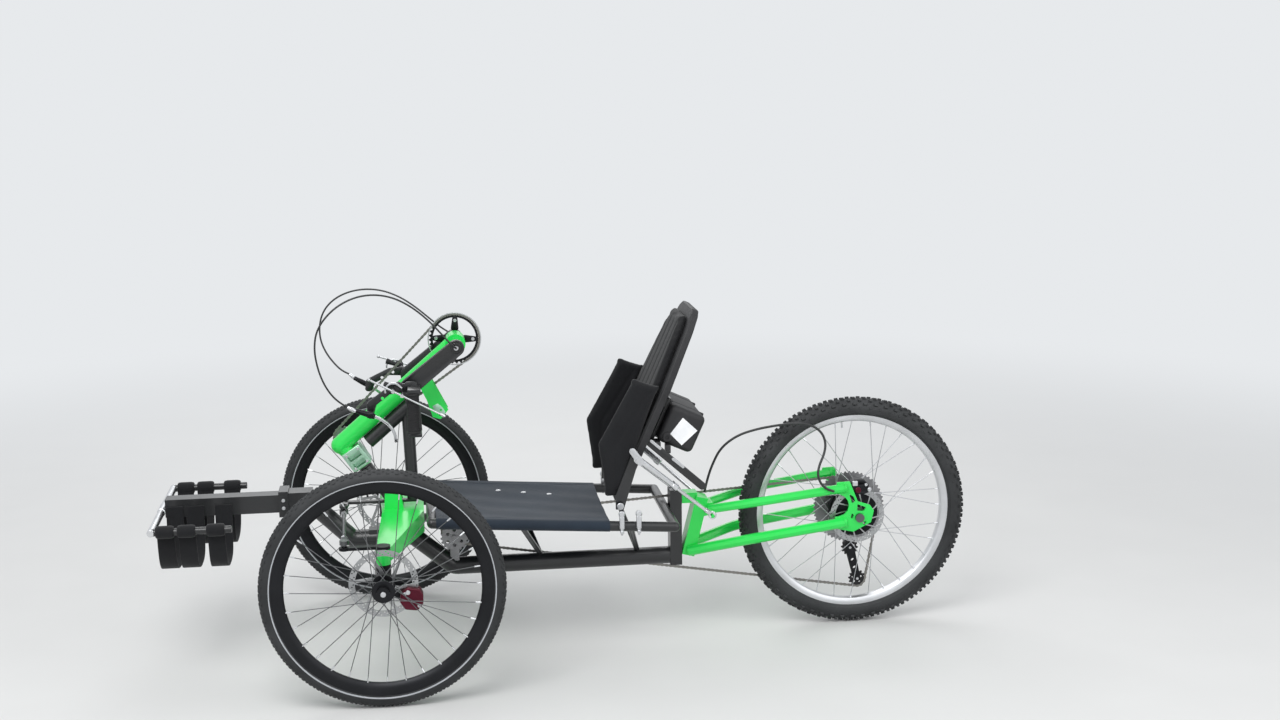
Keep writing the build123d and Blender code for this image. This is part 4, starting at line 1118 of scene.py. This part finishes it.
def makeHandlePlates(name, settings):
    y, gripX, gripY = settings["y"], settings["gripX"], settings["gripY"]
    parts = []
    for number, (kind, radius) in enumerate((("plate", 5.5), ("arm", 4.5))):
        plate = sidePlate(name, pinLine(settings[kind]), y + 0.2 * number, settings["thick"], 1.2)
        holes = [fromPin(x, y, z) for x, z in settings[kind + "Holes"]]
        parts.append(drilled(plate, holes, radius, sides=20))
    for low, high in settings["blocks"]:
        parts.append(pinBrick(name, (-30, y - 4, low), (6, gripY + 14, high), 2))
    parts.append(turned(name, rodShape(-118, 2, 6), fromPin(gripX, gripY, 0), (0, 0, 1), 20))
    return joined(parts, name)


def makeGrip(name, settings):
    # a moulded grip with rings round it and a flange at each end
    radius, groove, flange = settings["radius"], settings["groove"], settings["flange"]
    profile = [(-113.7, 6.3), (-113.7, 18.5), (-112.5, flange), (-110.5, flange), (-109.3, radius)]
    for number in range(settings["rings"]):
        low = -107.5 + number * settings["ringStep"]
        profile += [(low, radius), (low + 0.5, groove), (low + 1.9, groove), (low + 2.4, radius)]
    profile += [(-8.7, radius), (-7.5, flange), (-5.5, flange), (-4.3, 18.5), (-4.3, 6.3)]
    return turned(name, profile, fromPin(handle["gripX"], handle["gripY"], 0), (0, 0, 1), 48, closed=True)


def makeGearRod(name, settings):
    start, end = [at(*place) for place in settings["line"]]
    run = (end - start).length * 1000
    outward = (0, settings["outward"], 0)
    profile = [(-9, 0), (-9, 2.2), (-7, 4.2), (-3, 4.2), (-1, 2.6), (run - 16, 2.6), (run - 15, 4.4),
               (run - 4, 4.8), (run, 3.4), (run + 1.5, 0)]
    parts = [turned(name, profile, start, end - start, steps=16)]
    stay = [(-66, 0), (-66, 3.5), (-6, 3.5), (-5, 5), (5, 5), (5, 0)]
    parts += [turned(name, stay, start.lerp(end, share), outward, 16) for share in settings["stays"]]
    return joined(parts, name)


def makeShifter(name, settings):
    # a twist gear control, clamped over the upper block
    body = turned(name, settings["drum"], fromPin(30, 142, 13), (0.1, 1, 0.1), 32)
    return joined([body, turned(name, settings["nose"], fromPin(56, 146, 17), (1, 0, 0.25), 24)], name)


def makeShiftLever(name, settings):
    outline = ribbonOutline(rounded(pinLine(settings["lever"])), 4.5)
    return sidePlate(name, outline, settings["leverY"], 9, 1.2)


def makeBrakePerch(name, settings):
    low = pinBrick(name, (98, 120, -68), (116, handle["gripY"] + 4, -54), 2.5)
    body = turned(name, settings["barrel"], fromPin(102, settings["y"], -63), (54, 0, 20), 28)
    hinge = turned(name, rodShape(-10, 10, 5), fromPin(108, settings["y"], -64), steps=20)
    return joined([low, body, hinge], name)


def makeBrakeBlade(name, settings):
    line = ribbonOutline(rounded(pinLine(settings["blade"])), 7.5)
    tip = turned(name, rodShape(-5, 5, 4.8), fromPin(41, settings["y"], -134), steps=20)
    return joined([sidePlate(name, line, settings["y"], 10, 2), tip], name)


def makeFerrule(name, settings):
    return turned(name, settings["ferrule"], fromPin(149, handle["gripY"], -46.6), (19, 0, 10.6), 24)


handParts = (
    (makeHandlePlates("handleLeft", handle), blackPaint, "black_metal", "handle_left"),
    (makeGrip("gripLeft", grip), softRubber, "rubber", "grip_left"),
    (makeShifter("shifterLeft", shifter), blackPlastic, "black_plastic", "handle_left"),
    (makeShiftLever("shiftLeverLeft", shifter), bareAlloy, "silver", "handle_left"),
    (makeBrakePerch("brakePerchLeft", brakeLever), blackAlloy, "black_metal", "brake_lever_left"),
    (makeBrakeBlade("brakeBladeLeft", brakeLever), polishedAlloy, "silver", "brake_lever_left"),
    (makeFerrule("ferruleLeft", brakeLever), polishedAlloy, "silver", "brake_lever_left"),
)
for piece, finish, slot, node in handParts:
    mirrored(piece, finish, "crankset", slot, node, matrix=toRightHandle)
for name, settings in gearRods.items():
    finished(makeGearRod(name, settings), polishedAlloy, "crankset", "silver", settings["node"])
mirrored(makeCrankArm("crankArmLeft", crank), blackPaint, "crankset", "black_metal", "crank_arm_left")
crankAxle = turned("crankAxle", rodShape(-85, 85, 12), at(crank["x"], 0, crank["z"]), steps=32)
finished(crankAxle, brushedSteel, "crankset", "steel", "crank_arm_left")
armBolts = bolts("crankBoltLeft", [at(crank["x"], 100, crank["z"]), fromPin(0, 111, 0)], 6.5, 4)
mirrored(armBolts, bareAlloy, "crankset", "silver", "crank_arm_left")

chainring = {"y": -62, "pitch": 70.3, "bore": 61, "arms": 4, "phase": 3, "boltReach": 52,
             "armLine": ((30, 11), (57, 7.5)), "guard": (4.5, 6, 72.5, 75.5)}
ringCentre = at(crank["x"], chainring["y"], crank["z"])


def makeChainring(name, settings):
    # a toothed ring, a middle and the arms between them
    plate = makeCog(name, ringCentre, settings["pitch"], settings["bore"])
    middle = turned(name, ringShape(-3, 3, 12, 24), ringCentre, steps=48, closed=True)
    foot, end = [(crank["x"] + reach, crank["z"], radius) for reach, radius in settings["armLine"]]
    arm = sidePlate(name, pillOutline(foot, end), settings["y"], 3.4, 0.8)
    arms = ringOf(arm, settings["arms"], ringCentre)
    placed(arms, turnAbout(ringCentre, -radians(settings["phase"])))
    return joined([plate, middle, arms], name)


finished(makeChainring("chainring", chainring), blackAlloy, "crankset", "chain_steel", "chainring")
ringSpots = spotsRound(ringCentre + Vector((0, 0.0017, 0)), chainring["arms"], chainring["boltReach"],
                       -radians(chainring["phase"]))
finished(bolts("chainringBolts", ringSpots, 5, 2.4), polishedAlloy, "crankset", "silver", "chainring")
guard = turned("chainGuard", ringShape(*chainring["guard"]), ringCentre, steps=96, closed=True)
finished(guard, bareAlloy, "crankset", "silver", "chainring")

print("idler, jackshaft and gear changer")
idler = {"place": (103.4, -62, 604.1), "axle": ((-8, 0), (-8, 8), (-3, 8), (-3, 6), (32, 6), (32, 0))}
jackshaft = {"x": -195, "z": 320, "cogs": ((-37.8, 34.3, (5, 19, 4)), (33, 38, (6, 22, 5))),
             "shaft": ((-46, 0), (-46, 7), (-45, 8), (-20, 8), (-20, 15), (20, 15), (20, 8), (40, 8),
                       (40, 0))}
gearChanger = {"low": (-1385, 115), "guide": (-1362, 212), "y": -37.8, "armTop": (-1372, 290, 15),
               "knuckle": ((-1392, 322), (-1360, 302), (-1356, 300), (-1360, 276), (-1392, 282))}
pulleySpots = (gearChanger["low"], gearChanger["guide"])


def makeIdler(name, settings):
    place = at(*settings["place"])
    cog = makeCog(name, place, 29.3, 6, (5, 16, 3.5))
    return joined([cog, turned(name, settings["axle"], place, steps=24)], name)


def makeJackshaft(name, settings):
    x, z = settings["x"], settings["z"]
    parts = [turned(name, settings["shaft"], at(x, 0, z), steps=32),
             brick(name, (x - 13, -17, z - 74), (x + 13, 17, z - 8), 2)]
    parts += [makeCog(name, at(x, y, z), radius, 7.5, holes) for y, radius, holes in settings["cogs"]]
    return joined(parts, name)


def makeGearChanger(name, settings):
    (lowX, lowZ), (guideX, guideZ), middle = settings["low"], settings["guide"], settings["y"]
    parts = []
    for y in (middle - 7, middle + 7):
        cheek = sidePlate(name, pillOutline((lowX, lowZ, 10), (guideX, guideZ, 13)), y, 2, 0.6)
        parts.append(drilled(cheek, [at(lowX + 8, y, lowZ + 34), at(lowX + 14, y, lowZ + 58)], 6, 8, 20))
    parts.append(sidePlate(name, pillOutline((guideX, guideZ, 13), settings["armTop"]), -62, 26, 3))
    parts.append(sidePlate(name, settings["knuckle"], -83, 5.8, 1))
    return joined(parts, name)


def makePulleys(name, settings):
    return joined([makeCog(name, at(x, settings["y"], z), 24.3, 4, (5, 13, 3)) for x, z in pulleySpots], name)


finished(makeIdler("mastIdler", idler), cogSteel, "steering_mast", "chain_steel", "mast_idler")
finished(makeJackshaft("jackshaft", jackshaft), cogSteel, "frame", "chain_steel", "jackshaft")
finished(makeGearChanger("gearChanger", gearChanger), blackAlloy, "frame", "black_metal", "derailleur")
finished(makePulleys("gearPulleys", gearChanger), blackPlastic, "frame", "black_plastic", "derailleur")
pulleyBolts = bolts("pulleyBolts", [at(x, gearChanger["y"] + 8, z) for x, z in pulleySpots], 4, 2)
finished(pulleyBolts, bareAlloy, "frame", "silver", "derailleur")

print("steering head")
steering = {
    "foot": (-12, 0, 440), "lean": 34, "clamp": 145, "half": 29, "slots": (-15, 9), "ballX": 110, "ballY": 42,
    "shaft": ((-10, 0), (-10, 11), (-9, 12), (116, 12), (116, 0)), "bolts": (19, -20),
    "hub": ((-4, 0), (-4, 13), (-3, 14), (3, 14), (4, 13), (4, 0)),
    "eye": ((424, 0), (424, 11.5), (424.6, 12), (431.4, 12), (432, 11.5), (432, 5), (436, 5), (436, 0)),
    "ball": ((405.2, 0), (407, 5), (410, 7.4), (413, 8), (416, 7.4), (419.5, 4.6), (421, 3), (424, 3),
             (424, 0)),
}
headFoot, headLean = at(*steering["foot"]), radians(steering["lean"])
headAxis, headAcross = Vector((sin(headLean), 0, cos(headLean))), Vector((cos(headLean), 0, -sin(headLean)))


def onHead(along, across, y):
    return headFoot + (headAxis * along + headAcross * across + Vector((0, y, 0))) / 1000


def headBlock(name, along, across, lowY, highY, bevel=0, segments=2):
    # a box in line with the steerer, between two values each way
    corners = ((0, 0), (0, 1), (1, 1), (1, 0))
    line = [onHead(along[a], across[b], lowY) for a, b in corners]
    return cutPlate(name, line, Vector((0, (highY - lowY) / 1000, 0)), bevel, segments)


def makeSteeringClamp(name, settings):
    # a split block round the steerer, with two steps cut into its left side
    middle, half = settings["clamp"], settings["half"]
    block = headBlock(name, (middle - 31, middle + 31), (-half, half), -half, half, 3, 3)
    for along in settings["slots"]:
        place = middle + along
        cutAway(block, headBlock("slot", (place - 8, place + 8), (-19, 19), half - 26, half + 14, 1))
    return cutAway(block, headBlock("slot", (middle - 40, middle + 40), (half - 15, half + 3), -2, 2))


def makeSteerer(name, settings):
    x, upright = settings["ballX"], (0, 0, 1)
    parts = [
        turned(name, settings["shaft"], headFoot, headAxis, 32),
        turned(name, ringShape(108, 114, 12, 19), headFoot, headAxis, 6, closed=True),
        brick(name, (-98, -9, 424), (x, 9, 432), 1.5),
        sidePlate(name, ((x - 12, 424), (x + 12, 424), (x + 12, 432), (x - 12, 432)), 0, 84, 1.5),
        turned(name, settings["hub"], at(-20, 0, 428), upright, 32),
    ]
    for y in (settings["ballY"], -settings["ballY"]):
        parts.append(turned(name, settings["eye"], at(x, y, 0), upright, 32))
        parts.append(turned(name, settings["ball"], at(x, y, 0), upright, 24))
    return joined(parts, name)


finished(makeSteeringClamp("steeringClamp", steering), mintAlloy, "steering_mast", "silver", "steering_head")
finished(makeSteerer("steerer", steering), blackPaint, "steering_mast", "black_metal", "steering_head")
clampSpots = [onHead(steering["clamp"] + along, across, 28.5)
              for across in steering["bolts"] for along in (-22, 22)]
clampBolts = doubled(bolts("clampBolts", clampSpots, 4.2, 3))
finished(clampBolts, bareAlloy, "steering_mast", "silver", "steering_head")

print("battery")
battery = {
    "across": 133, "up": (180, 292), "forward": (-132, -24), "round": 16, "seams": (-70, 70),
    "label": ((-837, 663), (-878, 624), (-833, 584), (-801, 618)),
    "socket": ((-2, 0), (-2, 13), (4, 13), (6, 11), (6, 6), (2, 6), (2, 0)),
}


def backBlock(name, start, width, up, forward):
    # a box in line with the backrest
    (low, high), (rear, front) = up, forward
    line = [onBack(start, *spot) for spot in ((low, rear), (low, front), (high, front), (high, rear))]
    return cutPlate(name, line, Vector((0, width / 1000, 0)), 0)


def makeBattery(name, settings):
    # the case, and a raised band over each seam
    across, (low, high), (rear, front) = settings["across"], settings["up"], settings["forward"]
    case = backBlock(name, -across, 2 * across, settings["up"], settings["forward"])
    parts = [modify(case, "BEVEL", width=settings["round"] / 1000, segments=6)]
    for seam in settings["seams"]:
        band = backBlock(name, seam - 4, 8, (low - 1, high + 1), (rear - 1, front + 1))
        modify(band, "BEVEL", width=0.012, segments=5, limit_method="ANGLE", angle_limit=radians(60))
        parts.append(band)
    return joined(parts, name)


finished(makeBattery("battery", battery), blackPlastic, "backrest", "black_plastic", "battery")
label = sidePlate("batteryLabel", battery["label"], battery["across"], 1.2, 0)
finished(label, whiteSticker, "backrest", "black_plastic", "battery")
batterySocket = turned("batterySocket", battery["socket"], onBack(battery["across"], 200, -48), steps=32)
finished(batterySocket, blackPlastic, "backrest", "black_plastic", "battery")

print("struts and clamps")
strut = {
    "top": (-700, 202, 566), "foot": (-925.5, 98, 368),
    "tube": ((9, 5.3), (9, 8), (11, 10), (140, 10), (140.5, 12), (158, 12), (160, 10), (160, 5.3)),
    "head": ((-6, 6.5), (-6, 11), (-5, 12)), "eye": ((-5, 7.5), (-5, 10.5), (-4, 11.5)),
}
railToggle = {"places": (-650, -697), "y": 231,
              "knob": ((-5, 0), (-5, 6.5), (-2, 9), (3, 9), (6, 6.5), (6, 0)),
              "screw": ((-12, 0), (-12, 3), (0, 3), (0, 5.5), (8, 5.5), (8, 0))}


def makeStruts(settings):
    top, foot = at(*settings["top"]), at(*settings["foot"])
    way, run = (foot - top).normalized(), (foot - top).length * 1000
    shape = [(60, 0), (60, 5), (run - 30, 5), (run - 29, 7), (run - 12, 7), (run - 9, 0)]
    tube = turned("strutTubeLeft", settings["tube"], top, way, 32, closed=True)
    head = turned("strutTubeLeft", bothWays(settings["head"]), top, steps=32, closed=True)
    rod = turned("strutRodLeft", shape, top, way, 24)
    eye = turned("strutRodLeft", bothWays(settings["eye"]), foot, steps=32, closed=True)
    return joined([tube, head], "strutTubeLeft"), joined([rod, eye], "strutRodLeft")


def makeToggles(name, settings):
    # on each clamp a lever with a round knob, a screw and a jaw
    y, parts = settings["y"], []
    for x in settings["places"]:
        parts.append(brick(name, (x - 7, y - 5, 378), (x + 7, y + 5, 414), 3, 3))
        parts.append(turned(name, settings["knob"], at(x, y, 420), steps=24))
        parts.append(turned(name, settings["screw"], at(x, y, 372), (0, 0, 1), 6))
        parts.append(brick(name, (x - 5, y - 5, 366), (x + 5, y + 9, 374), 2))
    return joined(parts, name)


for piece, node in zip(makeStruts(strut), ("strut_tube_left", "strut_rod_left")):
    mirrored(piece, polishedAlloy, node, "steel", node)
mirrored(makeToggles("railToggles", railToggle), bareAlloy, "frame", "silver", "recline_brackets",
         name="railTogglesRight")

print("hoses and cable")
cords = {
    "hubCable": {
        "length": 0.656, "width": 0.007, "body": "frame", "node": "hub_cable",
        "route": ((-917, 14, 414), (-924, 20, 452), (-938, 24, 496), (-962, 28, 546), (-1008, 34, 582),
                  (-1062, 42, 600), (-1118, 48, 610), (-1172, 52, 615), (-1220, 56, 611), (-1252, 62, 588),
                  (-1262, 70, 556), (-1254, 80, 526), (-1238, 92, 500), (-1230, 102, 474),
                  (-1238, 106, 448), (-1256, 106.4, 430), (-1278, 106.9, 423)),
    },
    "brakeHoseLeft": {
        "length": 0.732, "width": 0.005, "body": "crankset", "node": "brake_hose_left",
        "route": ((83, 164, 736.3), (104, 166, 750), (126, 172, 775), (144, 182, 810), (157, 190, 854),
                  (163, 196, 904), (154, 198, 956), (116, 196, 1004), (66, 190, 1034), (12, 180, 1044),
                  (-44, 166, 1034), (-96, 150, 1004), (-142, 138, 962), (-176, 130, 922), (-200, 124, 892),
                  (-213, 113, 879), (-215, 99.3, 876)),
    },
    "brakeHoseRight": {
        "length": 0.665, "width": 0.005, "body": "crankset", "node": "brake_hose_right",
        "route": ((86.9, -164, 765.7), (106, -168, 774), (128, -177, 795), (150, -187, 824), (166, -194, 862),
                  (167, -198, 908), (152, -199, 950), (120, -197, 982), (76, -191, 1002), (28, -182, 1009),
                  (-20, -170, 1004), (-66, -157, 986), (-106, -145, 960), (-142, -134, 930),
                  (-176, -126, 901), (-203, -118, 884), (-214, -110, 878), (-215, -99.3, 876)),
    },
}


def layCord(name, settings):
    route = [at(*point) for point in settings["route"]]
    hose = tubeAlong(name, route, settings["width"] * 500, resolution=10)
    hose.data.materials.append(hoseRubber)
    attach(hose, settings["body"])
    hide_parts(settings["node"])


for name, settings in cords.items():
    layCord(name, settings)

print("brakes")
frontCaliper = {
    "body": ((-94, 302), (-62, 308), (-44, 296), (-40, 270), (-54, 248), (-86, 244), (-101, 262),
             (-102, 286)),
    "half": 17, "rotor": 94, "centre": (0, 420, 318), "bolts": ((-90, 258), (-54, 292)),
    "bracket": ((0, 340), (0, 300), (-46, 258), (-72, 258), (-76, 300)), "bracketY": 399,
}
rearCaliper = {
    "body": ((-1386, 408), (-1388, 430), (-1374, 446), (-1342, 446), (-1330, 434), (-1330, 414), (-1340, 404),
             (-1376, 403)),
    "half": 15, "rotor": 84, "centre": (-1357, 66, 338), "bolts": ((-1378, 432), (-1340, 432)),
    "cap": ((-2, 0), (-2, 9), (3, 9), (4.5, 7.5), (4.5, 4), (3, 4), (3, 0)),
}
hoseInlet = ((0, 0), (0, 5), (2, 6), (7, 6), (8, 5), (8, 0))


def makeCaliper(name, settings):
    body = sidePlate(name, settings["body"], settings["centre"][1], 2 * settings["half"], 3.5)
    return drilled(recessed(body, 6, 2), [at(*settings["centre"])], settings["rotor"], 7, sides=48)


def makeCaliperBolts(name, settings):
    y = settings["centre"][1] + settings["half"] - 2
    inletX, inletZ = settings["body"][1]
    inlet = turned(name, hoseInlet, at(inletX, y, inletZ - 12))
    return joined([bolts(name, [at(x, y, z) for x, z in settings["bolts"]], 4.5, 5), inlet], name)


def makeCaliperBracket(name, settings):
    y = settings["bracketY"]
    plate = sidePlate(name, settings["bracket"], y, 8, 1.5)
    drilled(plate, [at(0, y, 318)], 18, sides=40)
    return drilled(plate, [at(-40, y, 296)], 9, sides=24)


for piece, finish, slot in (
        (makeCaliperBracket("caliperBracketLeft", frontCaliper), blackAlloy, "black_metal"),
        (makeCaliper("caliperLeft", frontCaliper), redAlloy, "maroon"),
        (makeCaliperBolts("caliperBoltsLeft", frontCaliper), bareAlloy, "silver")):
    mirrored(piece, finish, "knuckle_left", slot, "brake_caliper_left")
rearTab = brick("rearCaliper", (-1372, 78, 418), (-1334, 86, 434), 1.5)
rearBody = joined([makeCaliper("rearCaliper", rearCaliper), rearTab], "rearCaliper")
rearBlock = brick("rearCaliperBolts", (-1352, 80, 431), (-1337, 90, 445), 2)
rearBolts = joined([makeCaliperBolts("rearCaliperBolts", rearCaliper), rearBlock], "rearCaliperBolts")
pistonCap = turned("rearPistonCap", rearCaliper["cap"], at(-1353, 86, 418), steps=28)
finished(rearBody, blackAlloy, "frame", "black_metal", "rear_caliper")
finished(rearBolts, bareAlloy, "frame", "silver", "rear_caliper")
finished(pistonCap, redAlloy, "frame", "maroon", "rear_caliper")

print("rear stays and dropouts")
rearStays = {
    "tubes": (((-866, 32, 246), (-1023, 80, 284), (-1316, 92, 326), 15),
              ((-926, 34, 368), (-1067, 80, 396), (-1316, 92, 428), 13)),
    "bend": 55,
    "plate": ((-1290, 445), (-1284, 308), (-1340, 296), (-1392, 322), (-1400, 356), (-1388, 374),
              (-1352, 386), (-1328, 446)),
    "windows": (((-1278, 412), (-1297, 410), (-1313, 402), (-1323, 389), (-1326, 375), (-1323, 360),
                 (-1313, 349), (-1296, 343), (-1278, 342)),
                ((-1326, 409), (-1339, 401), (-1345, 386), (-1335, 380), (-1331, 394)),
                ((-1351, 378), (-1377, 367), (-1370, 356), (-1350, 358)),
                ((-1335, 352), (-1331, 340), (-1336, 334), (-1341, 345)),
                ((-1366, 324), (-1379, 326), (-1371, 313))),
    "y": 89, "thick": 6, "axleHole": 6.3,
}


def bentTube(name, start, corner, end, radius, bend):
    # straight runs joined by one smooth bend
    before, after = corner + (start - corner).normalized() * bend, corner + (end - corner).normalized() * bend
    points = [start, start.lerp(before, 0.5), before, corner, after, after.lerp(end, 0.5), end]
    pick(tubeAlong(name, [at(*point) for point in points], radius))
    bpy.ops.object.convert(target="MESH")
    return bpy.context.object


def makeRearStays(name, settings):
    # the dropout plate is opened by its windows, and each tube ends in a bead and a cap
    y = settings["y"]
    plate = sidePlate(name, settings["plate"], y, settings["thick"], 1.2)
    for window in settings["windows"]:
        cutAway(plate, sidePlate("window", window, y, 20, 2))
    drilled(plate, [at(rearCentre[0], y, rearCentre[2])], settings["axleHole"], 20, sides=32)
    tubes, ends = [], []
    for *points, radius in settings["tubes"]:
        start, corner, end = [Vector(point) for point in points]
        way = (end - corner).normalized()
        bead = bothWays([(-1.5, radius - 0.5), (-1.5, radius + 1)])
        bead.insert(2, (0, radius + 1.8))
        cap = [(-0.5, 0), (-0.5, radius - 0.6), (2.5, radius - 1), (4.5, radius - 4), (5, 0)]
        tubes.append(bentTube(name, start, corner, end, radius, settings["bend"]))
        ends.append(turned(name, bead, at(*(end - way * 3)), way, 32, closed=True))
        ends.append(turned(name, cap, at(*end), way, 32))
    return joined(tubes + [plate] + ends, name)


mirrored(makeRearStays("rearStaysLeft", rearStays), greenPaint, "frame", "green_paint", "rear_stays_left")

print("small fittings")
# the slots of the bracket bar are two short silver strips laid on its black face: painted highlights
bracketBar = {"line": ((-742, 598, 11), (-888, 468, 11)), "y": 146, "thick": 8,
              "slots": (((-745, 604, 4), (-770, 582, 4)), ((-806, 550, 4), (-834, 526, 4))),
              "arms": (((-772, 100, 586), (-752, 150, 600)), ((-800, 120, 566), (-786, 150, 590)))}
axleBolt = {"place": (0, 515, 318), "shape": ((-2, 0), (-2, 7), (3, 7), (4, 6), (4, 3.5), (2, 3.5), (2, 0))}
pivotBolt = {"place": (-651, 192, 432),
             "shape": ((-1, 0), (-1, 10), (2, 10), (3.5, 8.5), (3.5, 4), (2, 4), (2, 0))}
gussetEye = {"outline": ((-146, 701), (-161, 708), (-173, 697), (-181, 684), (-180, 676), (-166, 673),
                         (-153, 684)),
             "y": 23.2, "thick": 1.6, "bolt": (-169, 689), "boltRadius": 3.2}
strutPlate = {"line": ((-684, 592, 9), (-706, 560, 10)), "y": 212.5, "nut": (-700, 214, 566)}
tieRod = {"inner": (110, 42, 413), "outer": (100, 350, 413), "nuts": ((109, 70, 413), (101, 314, 413))}
boomSpots = ((275, 36, 452), (275, 36, 430))
seatTrim = {"studs": ((-329, -118), (-402, -106), (-476, -94)), "hemY": 192, "hemZ": 15, "front": -150,
            "rear": -611, "thread": 0.7, "stitch": 7,
            "stud": ((-1, 0), (-1, 7.5), (0.8, 7.5), (1.6, 6.3), (1.2, 4.4), (2.4, 3.2), (2.8, 0))}


# two silver strips on the left face of the black bracket bar, painting its highlights
def makeBracketHighlightStrips(name, settings):
    y = settings["y"] + 4.5
    return joined([sidePlate(name, pillOutline(*line), y, 2, 0.5) for line in settings["slots"]], name)


def makeEndBolt(name, settings, steps):
    return turned(name, settings["shape"], at(*settings["place"]), steps=steps)


def makeStrutPlate(name, settings):
    plate = sidePlate(name, pillOutline(*settings["line"]), settings["y"], 4, 1)
    return joined([plate, turned(name, rodShape(-4, 5, 8), at(*settings["nut"]), steps=6)], name)


def makeGussetEye(name, settings):
    plate = sidePlate(name, settings["outline"], settings["y"], settings["thick"], 0.4)
    x, z = settings["bolt"]
    return drilled(plate, [at(x, settings["y"], z)], settings["boltRadius"], 8, sides=24)


def makeTieRodNuts(name, settings):
    way = at(*settings["outer"]) - at(*settings["inner"])
    return joined([turned(name, rodShape(-6, 6, 9), at(*nut), way, 6) for nut in settings["nuts"]], name)


def makeSeatStuds(name, settings):
    # press studs through the cloth on its right half
    studs = []
    for x, y in settings["studs"]:
        sag = seatCloth["sag"] * (1 - (y / seatCloth["railY"]) ** 2)
        top = seatCloth["railRadius"] + seatCloth["gap"] - sag + seatCloth["thick"] / 2
        studs.append(turned(name, settings["stud"], at(x, y, railZ(x) + top + ripple(x, y)), (0, 0, 1), 20))
    return joined(studs, name)


def makeStitching(name, settings):
    # short stitches laid end to end along both rails
    gap, stitches = settings["stitch"], []
    shape = [(0, 0), (0.6, settings["thread"]), (gap * 0.55, settings["thread"]), (gap * 0.6 + 0.4, 0)]
    for side in (1, -1):
        a, b = [at(x, side * settings["hemY"], railZ(x) + settings["hemZ"])
                for x in (settings["front"], settings["rear"])]
        count = int((b - a).length * 1000 / gap)
        for number in range(count):
            stitches.append(turned(name, shape, a.lerp(b, (number + 0.2) / count), b - a, 5))
    return joined(stitches, name)


bar = sidePlate("batteryBracket", pillOutline(*bracketBar["line"]), bracketBar["y"], bracketBar["thick"], 1.5)
arms = [brick("batteryBracketArm", low, high, 2) for low, high in bracketBar["arms"]]
finished(bar, blackPaint, "backrest", "black_metal")
# the silver strips are painted highlights on the black bracket bar
finished(makeBracketHighlightStrips("bracketHighlightStrips", bracketBar), bareAlloy, "backrest", "silver")
finished(joined(arms, "batteryBracketArm"), blackPaint, "backrest", "black_metal")
mirrored(makeEndBolt("axleBoltLeft", axleBolt, 24), bareAlloy, "knuckle_left", "silver")
finished(doubled(bolts("boomBolts", [at(*spot) for spot in boomSpots], 5, 4)), bareAlloy, "frame", "silver")
mirrored(makeStrutPlate("strutPlateLeft", strutPlate), bareAlloy, "backrest", "silver")
mirrored(makeEndBolt("pivotBoltLeft", pivotBolt, 28), bareAlloy, "backrest", "silver")
mirrored(makeGussetEye("gussetEyeLeft", gussetEye), mintAlloy, "steering_mast", "silver")
finished(makeSeatStuds("seatStuds", seatTrim), bareAlloy, "frame", "silver")
finished(makeStitching("seatStitching", seatTrim), greyThread, "frame", "navy_fabric")
mirrored(makeTieRodNuts("tieRodNutsLeft", tieRod), bareAlloy, "tie_rod_left", "silver")
